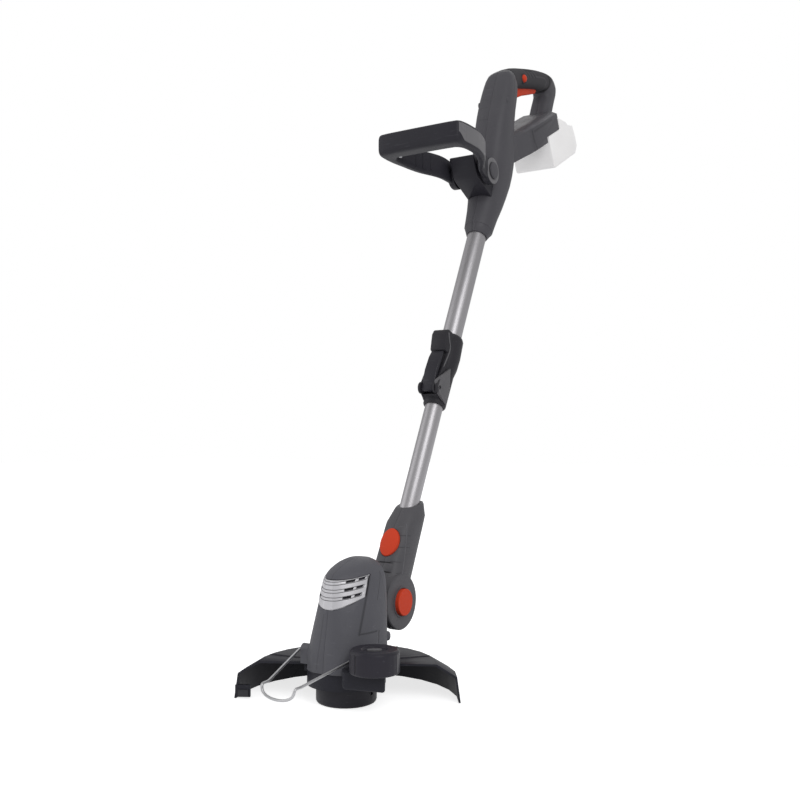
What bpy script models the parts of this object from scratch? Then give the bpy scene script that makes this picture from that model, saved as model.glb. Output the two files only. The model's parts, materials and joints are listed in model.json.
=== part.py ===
"""Cordless string trimmer with a telescopic shaft, built as an assembly of separate solids.

The frame stands on its spool: the origin is the centre of the spool's lower face, +Z is up, -Y is the
mowing direction and +X is the operator's right. Everything on the shaft is placed in the shaft frame,
whose Z runs up the tubes and whose Y points to the rear and down.
"""
import math

import bmesh
import bpy
from mathutils import Matrix, Vector

# clearances and shared stock
GAP = 0.0003
SLIDE_FIT = 0.0005
WALL = 0.0025
PAD = 0.010

# shaft: two telescoping aluminium tubes on one axis that leans back from the head
TILT = math.radians(26.5)
AXIS_Y = 0.032
TUBE_WALL = 0.0012
LOWER_R = 0.0123
UPPER_R = LOWER_R + SLIDE_FIT + TUBE_WALL
S_LOWER_END = 0.178
S_LOWER_TOP = 0.640
S_UPPER_END = 0.4405
S_UPPER_TOP = 0.800

# rear handle housing: neck, front body, grip and rear column follow one path in the shaft plane
S_RIM = 0.6790
S_NECK = S_RIM + 0.0120
NECK_R = 0.0212
RIM_R = 0.0158
BODY_HALF = 0.0270
GRIP_DEPTH = 0.0165
GRIP_HALF = 0.0172
COLUMN_HALF = 0.0172
COLUMN_R = 0.0985
SLEEVE = 0.0024
FOOT_TILT = math.radians(28.0)
FOOT_HALF = 0.0360
FOOT_LOW = 0.4545
FOOT_HIGH = 0.4965
FOOT_SHOULDER = 0.4905
FOOT_FLAT = 0.67
FOOT_STEP = 0.4645
FOOT_STEP_U = 0.8330
FOOT_END = 0.8930
GRIP_TILT = math.radians(17.0)
GRIP_Y = 0.5060
GRIP_Z = 0.8995

# screws of the housing: head and stem radii, x of the head's seat and of the stem's tip, (r, s) spots
SCREW_HEAD_R = 0.0032
SCREW_STEM_R = 0.0014
SCREW_HEAD_HIGH = 0.0022
SCREW_SEAT = 0.0150
SCREW_STEM_END = 0.0080
SCREW_SPOTS = ((0.0190, 0.7200), (-0.0440, 0.9020), (COLUMN_R, 1.0200))

# battery pack and the rail that it slides on
PACK_HALF = 0.0355
PACK_FRONT = 0.8424
PACK_BACK = 0.9605
PACK_LOW = FOOT_STEP - 0.0545
PACK_CREST = FOOT_STEP + 0.0170
RAIL_HALF = 0.0230
RAIL_HEIGHT = 0.0110
RAIL_LIP = 0.0030
RAIL_END = 0.8000

# trigger and lock-off button
TRIGGER_HALF = 0.0068
TRIGGER_FRONT = -0.0560
TRIGGER_BACK = 0.0300
TRIGGER_DROP_FRONT = 0.0290
TRIGGER_DROP_BACK = 0.0228
STUB_R = 0.0022
STUB_REACH = 0.0088
STUB_G = 0.0240
STUB_H = -0.0080
SWITCH_HALF = 0.0062
SWITCH_FRONT = -0.0250
SWITCH_BACK = 0.0150
SWITCH_LOW = 0.0064
SWITCH_TOP = 0.0120
LOCKOFF_G = -0.0417
LOCKOFF_R = 0.0064
LOCKOFF_STROKE = 0.0035

# control board
BOARD_HALF = 0.0140
BOARD_R = -0.0240

# front handle and its bracket
HUB_S = 0.7561
HUB_R = -0.0519
BRACKET_HALF = 0.0200
BRACKET_BOSS = 0.0030
EYE_R = 0.0195
EYE_THICK = 0.0097
BOLT_R = 0.0040
BAR_HALF = 0.0660
BAR_REACH = 0.1627
BAR_DEPTH = 0.0290
HANDLE_RISE = 0.0116
ARM_THICK = 0.0120
CAP_R = 0.0120
CAP_THICK = 0.0022
HANDLE_POWER = 4.2

# telescopic clamp with its cam lever
S_CLAMP_LOW = 0.3920
S_CLAMP_TOP = 0.5010
CLAMP_WALL = 0.0032
LEVER_S = 0.4085
LEVER_OUT = 0.0240
LEVER_HALF = 0.0096
LEVER_LENGTH = 0.0570
LEVER_EAR = 0.0082
BROW_OUT = 0.0322
LEVER_PIN_R = 0.0020
CHEEK = 0.0030
COVER_OUT = 0.0174

# lower arm: socket on the lower tube, fork and disc round the tilt pivot
S_ARM_TOP = 0.2475
ARM_R = 0.0225
ARM_SLANT = 0.80
PIVOT_S = 0.1188
PIVOT_OFF = 0.0041
DISC_R = 0.0345
DISC_HALF = 0.0220
LUG_HALF = 0.0105
LUG_R = 0.0300
FORK_TOP = 0.0080
KNOB_R = 0.0168
KNOB_OUT = 0.0058
OVAL_S = 0.1855
OVAL_HALF = 0.0130
OVAL_LONG = 0.0190
BUTTON_STROKE = 0.0030
BUTTON_ROOM = 0.0008
KNOB_ROOM = 0.0021

# motor housing
BASE_Z = 0.0405
MOTOR_R = 0.0179
MOTOR_LOW = 0.0560
MOTOR_HIGH = 0.1100
SHAFT_R = 0.0030
HOUSING_SECTIONS = (
    # height, nose y, rear y, half width, y of the widest place, squareness in front
    (BASE_Z, -0.0470, 0.0440, 0.0416, 0.0000, 2.40),
    (0.0520, -0.0468, 0.0442, 0.0413, 0.0010, 2.40),
    (0.0650, -0.0452, 0.0445, 0.0405, 0.0030, 2.40),
    (0.0900, -0.0408, 0.0458, 0.0386, 0.0080, 2.15),
    (0.1130, -0.0373, 0.0478, 0.0364, 0.0100, 1.85),
    (0.1350, -0.0340, 0.0492, 0.0336, 0.0120, 1.65),
    (0.1450, -0.0318, 0.0490, 0.0314, 0.0140, 1.60),
    (0.1510, -0.0262, 0.0482, 0.0288, 0.0160, 1.65),
    (0.1565, -0.0150, 0.0462, 0.0248, 0.0190, 1.75),
    (0.1615, -0.0010, 0.0425, 0.0190, 0.0215, 1.90),
    (0.1652, 0.0120, 0.0360, 0.0110, 0.0240, 2.00),
)
REAR_ROUND = 0.75
NOSE_FLAT = 0.0009
CHEEK_POINTS = 9
# right half of the vent grille's outline seen from the front: x and height
GRILLE_OUTLINE = ((0.0050, 0.1452), (0.0130, 0.1455), (0.0215, 0.1468), (0.0286, 0.1492), (0.0304, 0.1378),
                  (0.0312, 0.1258), (0.0235, 0.1182), (0.0147, 0.1142), (0.0060, 0.1114))
GRILLE_MIDDLE = 0.1300
# slots: height of the row, then the near and far x of its two openings on each side
SLOT_ROWS = ((0.1262, (0.0148, 0.0214), (0.0240, 0.0286)), (0.1350, (0.0156, 0.0219), (0.0245, 0.0283)),
             (0.1436, (0.0161, 0.0217), (0.0242, 0.0276)))
SLOT_HALF = 0.0012

# guard hood
GUARD_TURN = math.radians(27.3)
GUARD_R = 0.1340
GUARD_PLATE_R = 0.1060
GUARD_TOP = 0.0445
GUARD_SHOULDER = 0.0300
GUARD_WALL = 0.0024
RING_R = 0.0462
RING_LOW = 0.0220

# spare spool on the guard
SPARE_X = 0.0667
SPARE_Y = -0.0412
SPARE_R = 0.0281
SPARE_TOP = 0.0760
SPARE_LOW = 0.0502
SEAT_LOW = 0.0300
SEAT_OUTLINE = ((0.0340, -0.0560), (0.0830, -0.0450), (0.0640, -0.0150), (0.0350, -0.0050),
                (0.0200, -0.0380))

# spool head
SPOOL_R = 0.0357
CUP_TOP = 0.0285
HEAD_TOP = 0.0372
CORE_R = 0.0260

# edge guide wire
WIRE_R = 0.0016
WIRE_PIVOT_X = 0.0345
WIRE_LEFT_X = -0.0425
WIRE_PIVOT_Y = -0.0270
WIRE_PIVOT_Z = 0.0617
WIRE_KNEE_X = 0.0228
WIRE_KNEE_Y = -0.1150
WIRE_KNEE_Z = 0.0444
WIRE_NOSE = 0.0110
WIRE_DROP = 0.0145
WIRE_STUB = 0.0060
WIRE_BEND = 0.0022
WIRE_LEFT_BEND = 0.0034
EAR_R = 0.0062
EAR_FOOT = GUARD_TOP + 0.0010

RING_POINTS = 24
TURN_STEPS = 32


def clear_scene():
    """Remove what the new file starts with."""
    for obj in list(bpy.data.objects):
        bpy.data.objects.remove(obj, do_unlink=True)


clear_scene()
PARTS = bpy.data.collections.new("string_trimmer")
CUTTERS = bpy.data.collections.new("cutters")
bpy.context.scene.collection.children.link(PARTS)
bpy.context.scene.collection.children.link(CUTTERS)


def make_material(name, colour, roughness, metallic=0.0):
    """A Principled material with one colour."""
    mat = bpy.data.materials.new(name)
    mat.use_nodes = True
    shader = mat.node_tree.nodes["Principled BSDF"]
    shader.inputs["Base Color"].default_value = (*colour, 1.0)
    shader.inputs["Roughness"].default_value = roughness
    shader.inputs["Metallic"].default_value = metallic
    return mat


HOUSING_GREY = make_material("housing_grey", (0.085, 0.083, 0.090), 0.55)
BLACK_PLASTIC = make_material("black_plastic", (0.030, 0.030, 0.036), 0.5)
SOFT_BLACK = make_material("soft_black", (0.035, 0.033, 0.032), 0.85)
ORANGE = make_material("orange_plastic", (0.51, 0.072, 0.039), 0.45)
COVER_GREY = make_material("cover_grey", (0.12, 0.12, 0.125), 0.5)
PACK_GREY = make_material("pack_grey", (0.70, 0.70, 0.69), 0.6)
SILVER = make_material("silver_paint", (0.45, 0.45, 0.46), 0.35, 0.6)
ALUMINIUM = make_material("aluminium", (0.62, 0.61, 0.62), 0.3, 1.0)
STEEL = make_material("steel", (0.55, 0.55, 0.56), 0.3, 1.0)
BOARD_GREEN = make_material("board_green", (0.02, 0.14, 0.06), 0.5)
LINE_ORANGE = make_material("line_nylon", (0.65, 0.16, 0.04), 0.4)


# frames
def make_frame(name, location, tilt=0.0, turn=0.0):
    """An empty whose axes are those of one sub-assembly."""
    frame = bpy.data.objects.new(name, None)
    frame.empty_display_size = 0.03
    frame.location = location
    frame.rotation_euler = (tilt, 0.0, turn)
    CUTTERS.objects.link(frame)
    bpy.context.view_layer.update()
    return frame


def on_shaft(r, s):
    """World y and z of a point r behind and s along the shaft axis."""
    y = AXIS_Y + s * math.sin(TILT) + r * math.cos(TILT)
    z = s * math.cos(TILT) - r * math.sin(TILT)
    return y, z


WORLD = make_frame("frame_world", (0.0, 0.0, 0.0))
SHAFT = make_frame("frame_shaft", (0.0, AXIS_Y, 0.0), -TILT)
FOOT = make_frame("frame_battery_rail", (0.0, 0.0, 0.0), FOOT_TILT)
GRIP = make_frame("frame_grip", (0.0, GRIP_Y, GRIP_Z), GRIP_TILT)
HUB = make_frame("frame_front_handle", (0.0, *on_shaft(HUB_R, HUB_S)))
LEVER = make_frame("frame_lever", (0.0, *on_shaft(-LEVER_OUT, LEVER_S)), -TILT)
PIVOT_Y, PIVOT_Z = on_shaft(PIVOT_OFF, PIVOT_S)
PIVOT = make_frame("frame_tilt_pivot", (0.0, PIVOT_Y, PIVOT_Z))
HOOD = make_frame("frame_guard", (0.0, 0.0, 0.0), 0.0, GUARD_TURN)


# building blocks
def add_object(name, mesh, frame, material=None, collection=None):
    """Put a mesh that is given in a frame's coordinates into the scene, parented to that frame."""
    obj = bpy.data.objects.new(name, mesh)
    (collection or PARTS).objects.link(obj)
    obj.parent = frame
    if material:
        mesh.materials.clear()
        mesh.materials.append(material)
    if collection is CUTTERS:
        obj.hide_render = True
        obj.display_type = "WIRE"
    bpy.context.view_layer.update()
    return obj


def mesh_from(bm, name):
    """Turn a bmesh into a mesh with its faces pointing out."""
    bmesh.ops.remove_doubles(bm, verts=bm.verts, dist=1e-6)
    bmesh.ops.recalc_face_normals(bm, faces=bm.faces)
    mesh = bpy.data.meshes.new(name)
    bm.to_mesh(mesh)
    bm.free()
    return mesh


def box(name, frame, low, high, material=None, collection=None, soften=0.0, segments=1):
    """A box between two corners, with its edges rounded when soften is given."""
    bm = bmesh.new()
    bmesh.ops.create_cube(bm, size=1.0)
    size = Vector(high) - Vector(low)
    middle = (Vector(high) + Vector(low)) / 2.0
    bmesh.ops.scale(bm, vec=size, verts=bm.verts)
    bmesh.ops.translate(bm, vec=middle, verts=bm.verts)
    obj = add_object(name, mesh_from(bm, name), frame, material, collection)
    if soften:
        round_edges(obj, soften, segments)
    return obj


def rod(name, frame, axis, start, end, radius, at=(0.0, 0.0), material=None, collection=None,
        sides=32, end_radius=None):
    """A cylinder or cone along X, Y or Z between two positions, centred on the two other coordinates."""
    bm = bmesh.new()
    top = radius if end_radius is None else end_radius
    bmesh.ops.create_cone(bm, cap_ends=True, segments=sides, radius1=radius, radius2=top,
                          depth=end - start)
    bmesh.ops.translate(bm, vec=(0.0, 0.0, (start + end) / 2.0), verts=bm.verts)
    turn = {"X": Matrix.Rotation(math.pi / 2, 4, "Y"), "Y": Matrix.Rotation(-math.pi / 2, 4, "X"),
            "Z": Matrix.Identity(4)}[axis]
    place = {"X": (0.0, *at), "Y": (at[0], 0.0, at[1]), "Z": (*at, 0.0)}[axis]
    bmesh.ops.transform(bm, matrix=Matrix.Translation(place) @ turn, verts=bm.verts)
    obj = add_object(name, mesh_from(bm, name), frame, material, collection)
    obj.data.shade_smooth()
    obj.data.set_sharp_from_angle(angle=math.radians(40))
    return obj


def turned(name, frame, profile, material=None, collection=None, at=(0.0, 0.0), steps=TURN_STEPS,
           angle=math.tau, start=0.0):
    """A profile of (radius, height) points, listed down its outer side, turned about the frame's Z.

    A closed profile, or one that ends on the axis, gives a closed solid.
    """
    bm = bmesh.new()
    points = [bm.verts.new((radius, 0.0, height)) for radius, height in profile]
    whole = profile[0][0] > 1e-6
    for index in range(len(points) - 1):
        bm.edges.new((points[index], points[index + 1]))
    if whole:
        bm.edges.new((points[-1], points[0]))
    full = abs(angle - math.tau) < 1e-6
    geometry = list(bm.verts) + list(bm.edges)
    bmesh.ops.spin(bm, geom=geometry, cent=(0.0, 0.0, 0.0), axis=(0.0, 0.0, 1.0), angle=angle,
                   steps=steps, use_merge=full)
    bmesh.ops.remove_doubles(bm, verts=bm.verts, dist=1e-6)
    if not full:
        open_edges = [edge for edge in bm.edges if edge.is_boundary]
        bmesh.ops.holes_fill(bm, edges=open_edges, sides=0)
    bmesh.ops.rotate(bm, matrix=Matrix.Rotation(start, 3, "Z"), verts=bm.verts)
    bmesh.ops.translate(bm, vec=(*at, 0.0), verts=bm.verts)
    obj = add_object(name, mesh_from(bm, name), frame, material, collection)
    obj.data.shade_smooth()
    obj.data.set_sharp_from_angle(angle=math.radians(30))
    return obj


def loft(name, frame, rings, material=None, collection=None):
    """Skin a list of rings that have the same number of points, and close both ends."""
    bm = bmesh.new()
    rows = [[bm.verts.new(point) for point in ring] for ring in rings]
    count = len(rows[0])
    for low, high in zip(rows, rows[1:]):
        for index in range(count):
            after = (index + 1) % count
            bm.faces.new((low[index], low[after], high[after], high[index]))
    bm.faces.new(rows[0])
    bm.faces.new(rows[-1])
    obj = add_object(name, mesh_from(bm, name), frame, material, collection)
    obj.data.shade_smooth()
    obj.data.set_sharp_from_angle(angle=math.radians(35))
    return obj


def oval(half, front, back, power=2.4, count=RING_POINTS):
    """Points of a rounded section: half wide, reaching front on one side and back on the other."""
    points = []
    for index in range(count):
        turn = math.tau * (index + 0.5) / count
        across = math.copysign(abs(math.cos(turn)) ** (2.0 / power), math.cos(turn))
        along = math.copysign(abs(math.sin(turn)) ** (2.0 / power), math.sin(turn))
        points.append((half * across, (back if along > 0 else front) * along))
    return points


def prism(name, frame, outline, low, high, axis="X", material=None, collection=None):
    """A flat outline given in the two other axes, pushed along one axis from low to high."""
    order = {"X": lambda a, b, c: (c, a, b), "Y": lambda a, b, c: (a, c, b),
             "Z": lambda a, b, c: (a, b, c)}[axis]
    bm = bmesh.new()
    face = bm.faces.new([bm.verts.new(order(a, b, low)) for a, b in outline])
    raised = bmesh.ops.extrude_face_region(bm, geom=[face], use_keep_orig=True)["geom"]
    moved = [item for item in raised if isinstance(item, bmesh.types.BMVert)]
    bmesh.ops.translate(bm, vec=Vector(order(0.0, 0.0, high - low)), verts=moved)
    return add_object(name, mesh_from(bm, name), frame, material, collection)


def boolean(obj, tool, operation):
    """Join, cut or intersect with a tool object, which then goes to the cutters."""
    modifier = obj.modifiers.new(operation.lower() + "_" + tool.name, "BOOLEAN")
    modifier.operation = operation
    modifier.object = tool
    modifier.solver = "EXACT"
    for collection in list(tool.users_collection):
        collection.objects.unlink(tool)
    CUTTERS.objects.link(tool)
    tool.hide_render = True
    tool.display_type = "WIRE"
    return modifier


def cut(obj, *tools):
    """Take every tool's volume away from the object."""
    for tool in tools:
        boolean(obj, tool, "DIFFERENCE")
    return obj


def join(obj, *tools):
    """Add every tool's volume to the object."""
    for tool in tools:
        boolean(obj, tool, "UNION")
    return obj


def round_edges(obj, width, segments=1, angle=35.0):
    """Round the edges that are sharper than an angle."""
    modifier = obj.modifiers.new("round", "BEVEL")
    modifier.width = width
    modifier.segments = segments
    modifier.limit_method = "ANGLE"
    modifier.angle_limit = math.radians(angle)
    return obj


def settle(obj):
    """Replace an object's mesh by its evaluated form, so that it can be used twice."""
    bpy.context.view_layer.update()
    graph = bpy.context.evaluated_depsgraph_get()
    mesh = bpy.data.meshes.new_from_object(obj.evaluated_get(graph))
    obj.modifiers.clear()
    obj.data = mesh
    return obj


def duplicate(obj, name, frame, material=None, collection=None):
    """A second object with its own copy of the mesh."""
    return add_object(name, obj.data.copy(), frame, material, collection)


def split_halves(source, names, frame, material, reach=0.2):
    """Cut a solid along the plane x = 0 into a left and a right shell half."""
    halves = []
    for name, side in zip(names, (-1, 1)):
        half = duplicate(source, name, frame, material)
        low, high = sorted((side * GAP / 2.0, -side * reach))
        knife = box("knife_" + name, WORLD, (low, -1.0, -1.0), (high, 2.0, 2.0), None, CUTTERS)
        halves.append(cut(half, knife))
    return halves


# rear handle housing
# stations of the housing in the plane x = 0: outer y, z, inner y, z, half width, squareness
BODY_STATIONS = (
    (*on_shaft(-NECK_R, S_NECK), *on_shaft(NECK_R, S_NECK), NECK_R, 2.1),
    (*on_shaft(-NECK_R - 0.0018, 0.7200), *on_shaft(NECK_R + 0.0018, 0.7180), NECK_R + 0.0018, 2.3),
    (*on_shaft(-NECK_R - 0.0050, 0.7450), *on_shaft(NECK_R + 0.0050, 0.7450), NECK_R + 0.0045, 2.5),
    (*on_shaft(-0.0345, 0.7900), *on_shaft(0.0300, 0.7900), BODY_HALF + 0.0010, 2.7),
    (*on_shaft(-0.0435, 0.8300), *on_shaft(0.0240, 0.8300), BODY_HALF + 0.0010, 3.0),
    (*on_shaft(-0.0510, 0.8650), *on_shaft(0.0060, 0.8600), BODY_HALF + 0.0005, 3.3),
    (*on_shaft(-0.0545, 0.9000), *on_shaft(-0.0080, 0.8950), BODY_HALF, 3.4),
    (*on_shaft(-0.0562, 0.9300), *on_shaft(-0.0125, 0.9250), BODY_HALF - 0.0013, 3.4),
    (0.4062, 0.8770, 0.4408, 0.8518, BODY_HALF - 0.0036, 3.3),
    (0.4153, 0.8845, 0.4444, 0.8588, BODY_HALF - 0.0062, 3.1),
    (0.4380, 0.8960, 0.4550, 0.8665, GRIP_HALF + 0.0015, 2.7),
    (0.4700, 0.9065, 0.4790, 0.8745, GRIP_HALF, 2.6),
    (0.5079, 0.9175, 0.5165, 0.8857, GRIP_HALF, 2.6),
    (0.5446, 0.9265, 0.5500, 0.8940, GRIP_HALF, 2.7),
    (0.5782, 0.9314, 0.5655, 0.8970, GRIP_HALF, 2.9),
    (0.5968, 0.9286, 0.5700, 0.8965, COLUMN_HALF, 3.1),
    (0.6092, 0.9178, 0.5718, 0.8930, COLUMN_HALF, 3.2),
    (0.6090, 0.9046, 0.5705, 0.8880, COLUMN_HALF, 3.2),
    (0.5999, 0.8850, 0.5635, 0.8750, COLUMN_HALF, 3.2),
    (0.5907, 0.8660, 0.5555, 0.8570, COLUMN_HALF + 0.0005, 3.1),
    (0.5770, 0.8385, 0.5440, 0.8330, COLUMN_HALF + 0.0015, 3.0),
)
SLEEVE_START = 9.2
SLEEVE_END = 14.6


def path_at(values, place):
    """Catmull-Rom value of a control list at a real-numbered place."""
    last = len(values) - 1
    index = min(int(place), last - 1)
    blend = place - index
    a, b, c, d = (values[min(max(index + step, 0), last)] for step in (-1, 0, 1, 2))
    result = []
    for p, q, u, v in zip(a, b, c, d):
        result.append(0.5 * (2 * q + (u - p) * blend + (2 * p - 5 * q + 4 * u - v) * blend ** 2
                             + (3 * q - p - 3 * u + v) * blend ** 3))
    return result


def body_ring(place, thinner=0.0):
    """The housing's section at a place of its station list, thinner all round."""
    outer_y, outer_z, inner_y, inner_z, half, power = path_at(BODY_STATIONS, place)
    middle = Vector((outer_y + inner_y, outer_z + inner_z)) / 2.0
    reach = Vector((inner_y - outer_y, inner_z - outer_z)) / 2.0
    depth = reach.length
    ring = []
    for across, deep in oval(half - thinner, depth - thinner, depth - thinner, power):
        point = middle + reach * (deep / depth)
        ring.append((across, point.x, point.y))
    return ring


def body_rings(start, end, steps, thinner=0.0):
    """Sections between two places of the housing's stations."""
    return [body_ring(start + (end - start) * step / steps, thinner) for step in range(steps + 1)]


def foot_ring(u, half, low=FOOT_LOW, high=FOOT_HIGH, shoulder=FOOT_SHOULDER, thinner=0.0):
    """The battery foot's section: flat under side, upright flanks and sloping shoulders."""
    wide = half - thinner
    top = wide * FOOT_FLAT
    toe = 0.0015
    return [(-wide + toe, u, low + thinner), (-wide, u, low + toe + thinner),
            (-wide, u, shoulder - thinner), (-top, u, high - thinner), (top, u, high - thinner),
            (wide, u, shoulder - thinner), (wide, u, low + toe + thinner),
            (wide - toe, u, low + thinner)]


def build_housing():
    """Two shell halves with a tube socket, a cavity for the electronics and the battery foot."""
    last = len(BODY_STATIONS) - 1.0
    front = loft("housing_body", WORLD, body_rings(0.0, SLEEVE_START, 19), HOUSING_GREY)
    core = loft("housing_core", WORLD,
                body_rings(SLEEVE_START - 0.4, SLEEVE_END + 0.4, 12, SLEEVE + GAP))
    rear = loft("housing_column", WORLD, body_rings(SLEEVE_END, last, 13))
    foot = loft("housing_foot", FOOT, [foot_ring(0.6900, FOOT_HALF * 0.62),
                                       foot_ring(0.7300, FOOT_HALF * 0.80),
                                       foot_ring(0.7640, FOOT_HALF * 0.955),
                                       foot_ring(0.7760, FOOT_HALF * 0.965),
                                       foot_ring(0.7790, FOOT_HALF),
                                       foot_ring(FOOT_END, FOOT_HALF)])
    step = box("cut_foot_step", FOOT, (-0.06, FOOT_STEP_U, FOOT_LOW - PAD),
               (0.06, FOOT_END + PAD, FOOT_STEP), None, CUTTERS)
    end = box("cut_foot_end", FOOT, (-0.06, FOOT_END - 0.0020, FOOT_LOW - PAD),
              (0.06, FOOT_END + 8 * PAD, PACK_CREST + 0.0015), None, CUTTERS)
    lip_r = NECK_R - GAP
    lip = turned("neck_lip", SHAFT, [(0.0, S_NECK + 2 * PAD), (lip_r - 0.0010, S_NECK + 2 * PAD),
                                     (lip_r, S_NECK - GAP), (RIM_R, S_RIM), (0.0, S_RIM)])
    join(front, core, rear, foot, lip)
    cut(front, step, end)
    socket = rod("cut_tube_socket", SHAFT, "Z", S_RIM - PAD, S_UPPER_TOP + GAP, UPPER_R + GAP,
                 (0.0, 0.0), None, CUTTERS)
    cavity = loft("cut_cavity", WORLD, body_rings(4.2, 8.6, 7, WALL), None, CUTTERS)
    room = box("cut_foot_room", FOOT, (-FOOT_HALF + 2 * WALL, 0.7450, FOOT_LOW + WALL),
               (FOOT_HALF - 2 * WALL, RAIL_END - 2 * WALL, FOOT_SHOULDER - WALL), None, CUTTERS)
    channel = box("cut_rail_channel", FOOT, (-RAIL_HALF - SLIDE_FIT, RAIL_END, FOOT_LOW - PAD),
                  (RAIL_HALF + SLIDE_FIT, FOOT_END + PAD, FOOT_STEP + RAIL_HEIGHT + SLIDE_FIT),
                  None, CUTTERS)
    groove = box("cut_rail_groove", FOOT,
                 (-RAIL_HALF - RAIL_LIP - SLIDE_FIT, RAIL_END,
                  FOOT_STEP + RAIL_HEIGHT - RAIL_LIP - SLIDE_FIT),
                 (RAIL_HALF + RAIL_LIP + SLIDE_FIT, FOOT_END + PAD,
                  FOOT_STEP + RAIL_HEIGHT + SLIDE_FIT), None, CUTTERS)
    trigger_slot = box("cut_trigger_slot", GRIP,
                       (-TRIGGER_HALF - GAP, TRIGGER_FRONT - 0.0040, -0.040),
                       (TRIGGER_HALF + GAP, TRIGGER_BACK + 0.0060, 0.0060), None, CUTTERS)
    button_hole = rod("cut_lockoff_hole", GRIP, "X", TRIGGER_HALF, 0.06, LOCKOFF_R + GAP,
                      (LOCKOFF_G, -0.0016), None, CUTTERS)
    switch_room = box("cut_switch_room", GRIP, (-SWITCH_HALF - GAP, SWITCH_FRONT - GAP, -0.004),
                      (SWITCH_HALF + GAP, SWITCH_BACK + GAP, SWITCH_TOP + GAP), None, CUTTERS)
    stub_bore = rod("cut_trigger_stubs", GRIP, "X", -STUB_REACH - GAP, STUB_REACH + GAP, STUB_R + GAP,
                    (STUB_G, STUB_H), None, CUTTERS, 16)
    cut(front, cavity)
    for side in (-1, 1):
        low, high = sorted((side * (BOARD_HALF + GAP), side * (BODY_HALF - WALL / 2.0)))
        join(front, box("board_rest_%d" % side, SHAFT, (low, BOARD_R - 0.0022, 0.8640),
                        (high, BOARD_R + 0.0038, 0.8760)))
    join(front, rod("screw_boss", SHAFT, "X", -BODY_HALF + 0.8 * WALL, BODY_HALF - 0.8 * WALL,
                    SCREW_HEAD_R + WALL, SCREW_SPOTS[1], None, None, 20))
    cut(front, socket, room, channel, groove, trigger_slot, button_hole, switch_room, stub_bore)
    for index, (r, s) in enumerate(SCREW_SPOTS):
        hole = rod("cut_screw_hole_%d" % index, SHAFT, "X", -0.06, -SCREW_SEAT,
                   SCREW_HEAD_R + GAP, (r, s), None, CUTTERS, 16)
        stem = rod("cut_screw_stem_%d" % index, SHAFT, "X", -SCREW_SEAT - PAD, SCREW_STEM_END + GAP,
                   SCREW_STEM_R + GAP, (r, s), None, CUTTERS, 12)
        cut(front, hole, stem)
    settle(front)
    split_halves(front, ("housing_left", "housing_right"), WORLD, HOUSING_GREY)
    bpy.data.objects.remove(front)


def build_housing_screws():
    """Three screws that draw the left shell half against the right one."""
    for index, (r, s) in enumerate(SCREW_SPOTS):
        head = rod("housing_screw_%d" % (index + 1), SHAFT, "X", -SCREW_SEAT - SCREW_HEAD_HIGH, -SCREW_SEAT - GAP,
                   SCREW_HEAD_R, (r, s), STEEL, None, 16)
        stem = rod("stem_%d" % index, SHAFT, "X", -SCREW_SEAT - 0.001, SCREW_STEM_END, SCREW_STEM_R,
                   (r, s), None, None, 10)
        join(head, stem)


def build_grip():
    """Soft sleeve round the grip, with the trigger's slot and the button's hole."""
    sleeve = loft("grip_sleeve", WORLD, body_rings(SLEEVE_START + 0.02, SLEEVE_END - 0.02, 14), SOFT_BLACK)
    bore = loft("cut_sleeve_bore", WORLD, body_rings(SLEEVE_START - 0.2, SLEEVE_END + 0.2, 12, SLEEVE),
                None, CUTTERS)
    slot = box("cut_sleeve_slot", GRIP, (-TRIGGER_HALF - GAP, TRIGGER_FRONT - 0.0040, -0.040),
               (TRIGGER_HALF + GAP, TRIGGER_BACK + 0.0060, 0.0), None, CUTTERS)
    hole = rod("cut_sleeve_hole", GRIP, "X", 0.0, 0.06, LOCKOFF_R + GAP, (LOCKOFF_G, -0.0016), None, CUTTERS)
    cut(sleeve, bore, slot, hole)
    for index in range(4):
        low = -0.0250 + index * 0.0065
        slit = box("cut_grip_slit_%d" % index, GRIP, (0.0040, low, GRIP_DEPTH - 0.0062),
                   (0.03, low + 0.0028, GRIP_DEPTH + 0.01), None, CUTTERS)
        cut(sleeve, slit)


def build_controls():
    """Trigger on its rear pin and the lock-off button in the grip's right side."""
    trigger = prism("trigger", GRIP,
                    [(TRIGGER_FRONT, -0.0020), (TRIGGER_FRONT, -TRIGGER_DROP_FRONT + 0.004),
                     (TRIGGER_FRONT + 0.006, -TRIGGER_DROP_FRONT),
                     (TRIGGER_FRONT + 0.030, -TRIGGER_DROP_FRONT + 0.0035),
                     (TRIGGER_BACK - 0.006, -TRIGGER_DROP_BACK),
                     (TRIGGER_BACK, -TRIGGER_DROP_BACK + 0.004), (TRIGGER_BACK, -0.0065),
                     (TRIGGER_BACK - 0.012, -0.0020)],
                    -TRIGGER_HALF, TRIGGER_HALF, "X", ORANGE)
    round_edges(trigger, 0.0012, 2)
    join(trigger, rod("trigger_stubs", GRIP, "X", -STUB_REACH, STUB_REACH, STUB_R, (STUB_G, STUB_H),
                      None, None, 16))
    button = rod("lock_off_button", GRIP, "X", TRIGGER_HALF + LOCKOFF_STROKE + 2 * GAP, GRIP_HALF + 0.0022,
                 LOCKOFF_R, (LOCKOFF_G, -0.0016), ORANGE)
    round_edges(button, 0.0008, 2)


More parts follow.
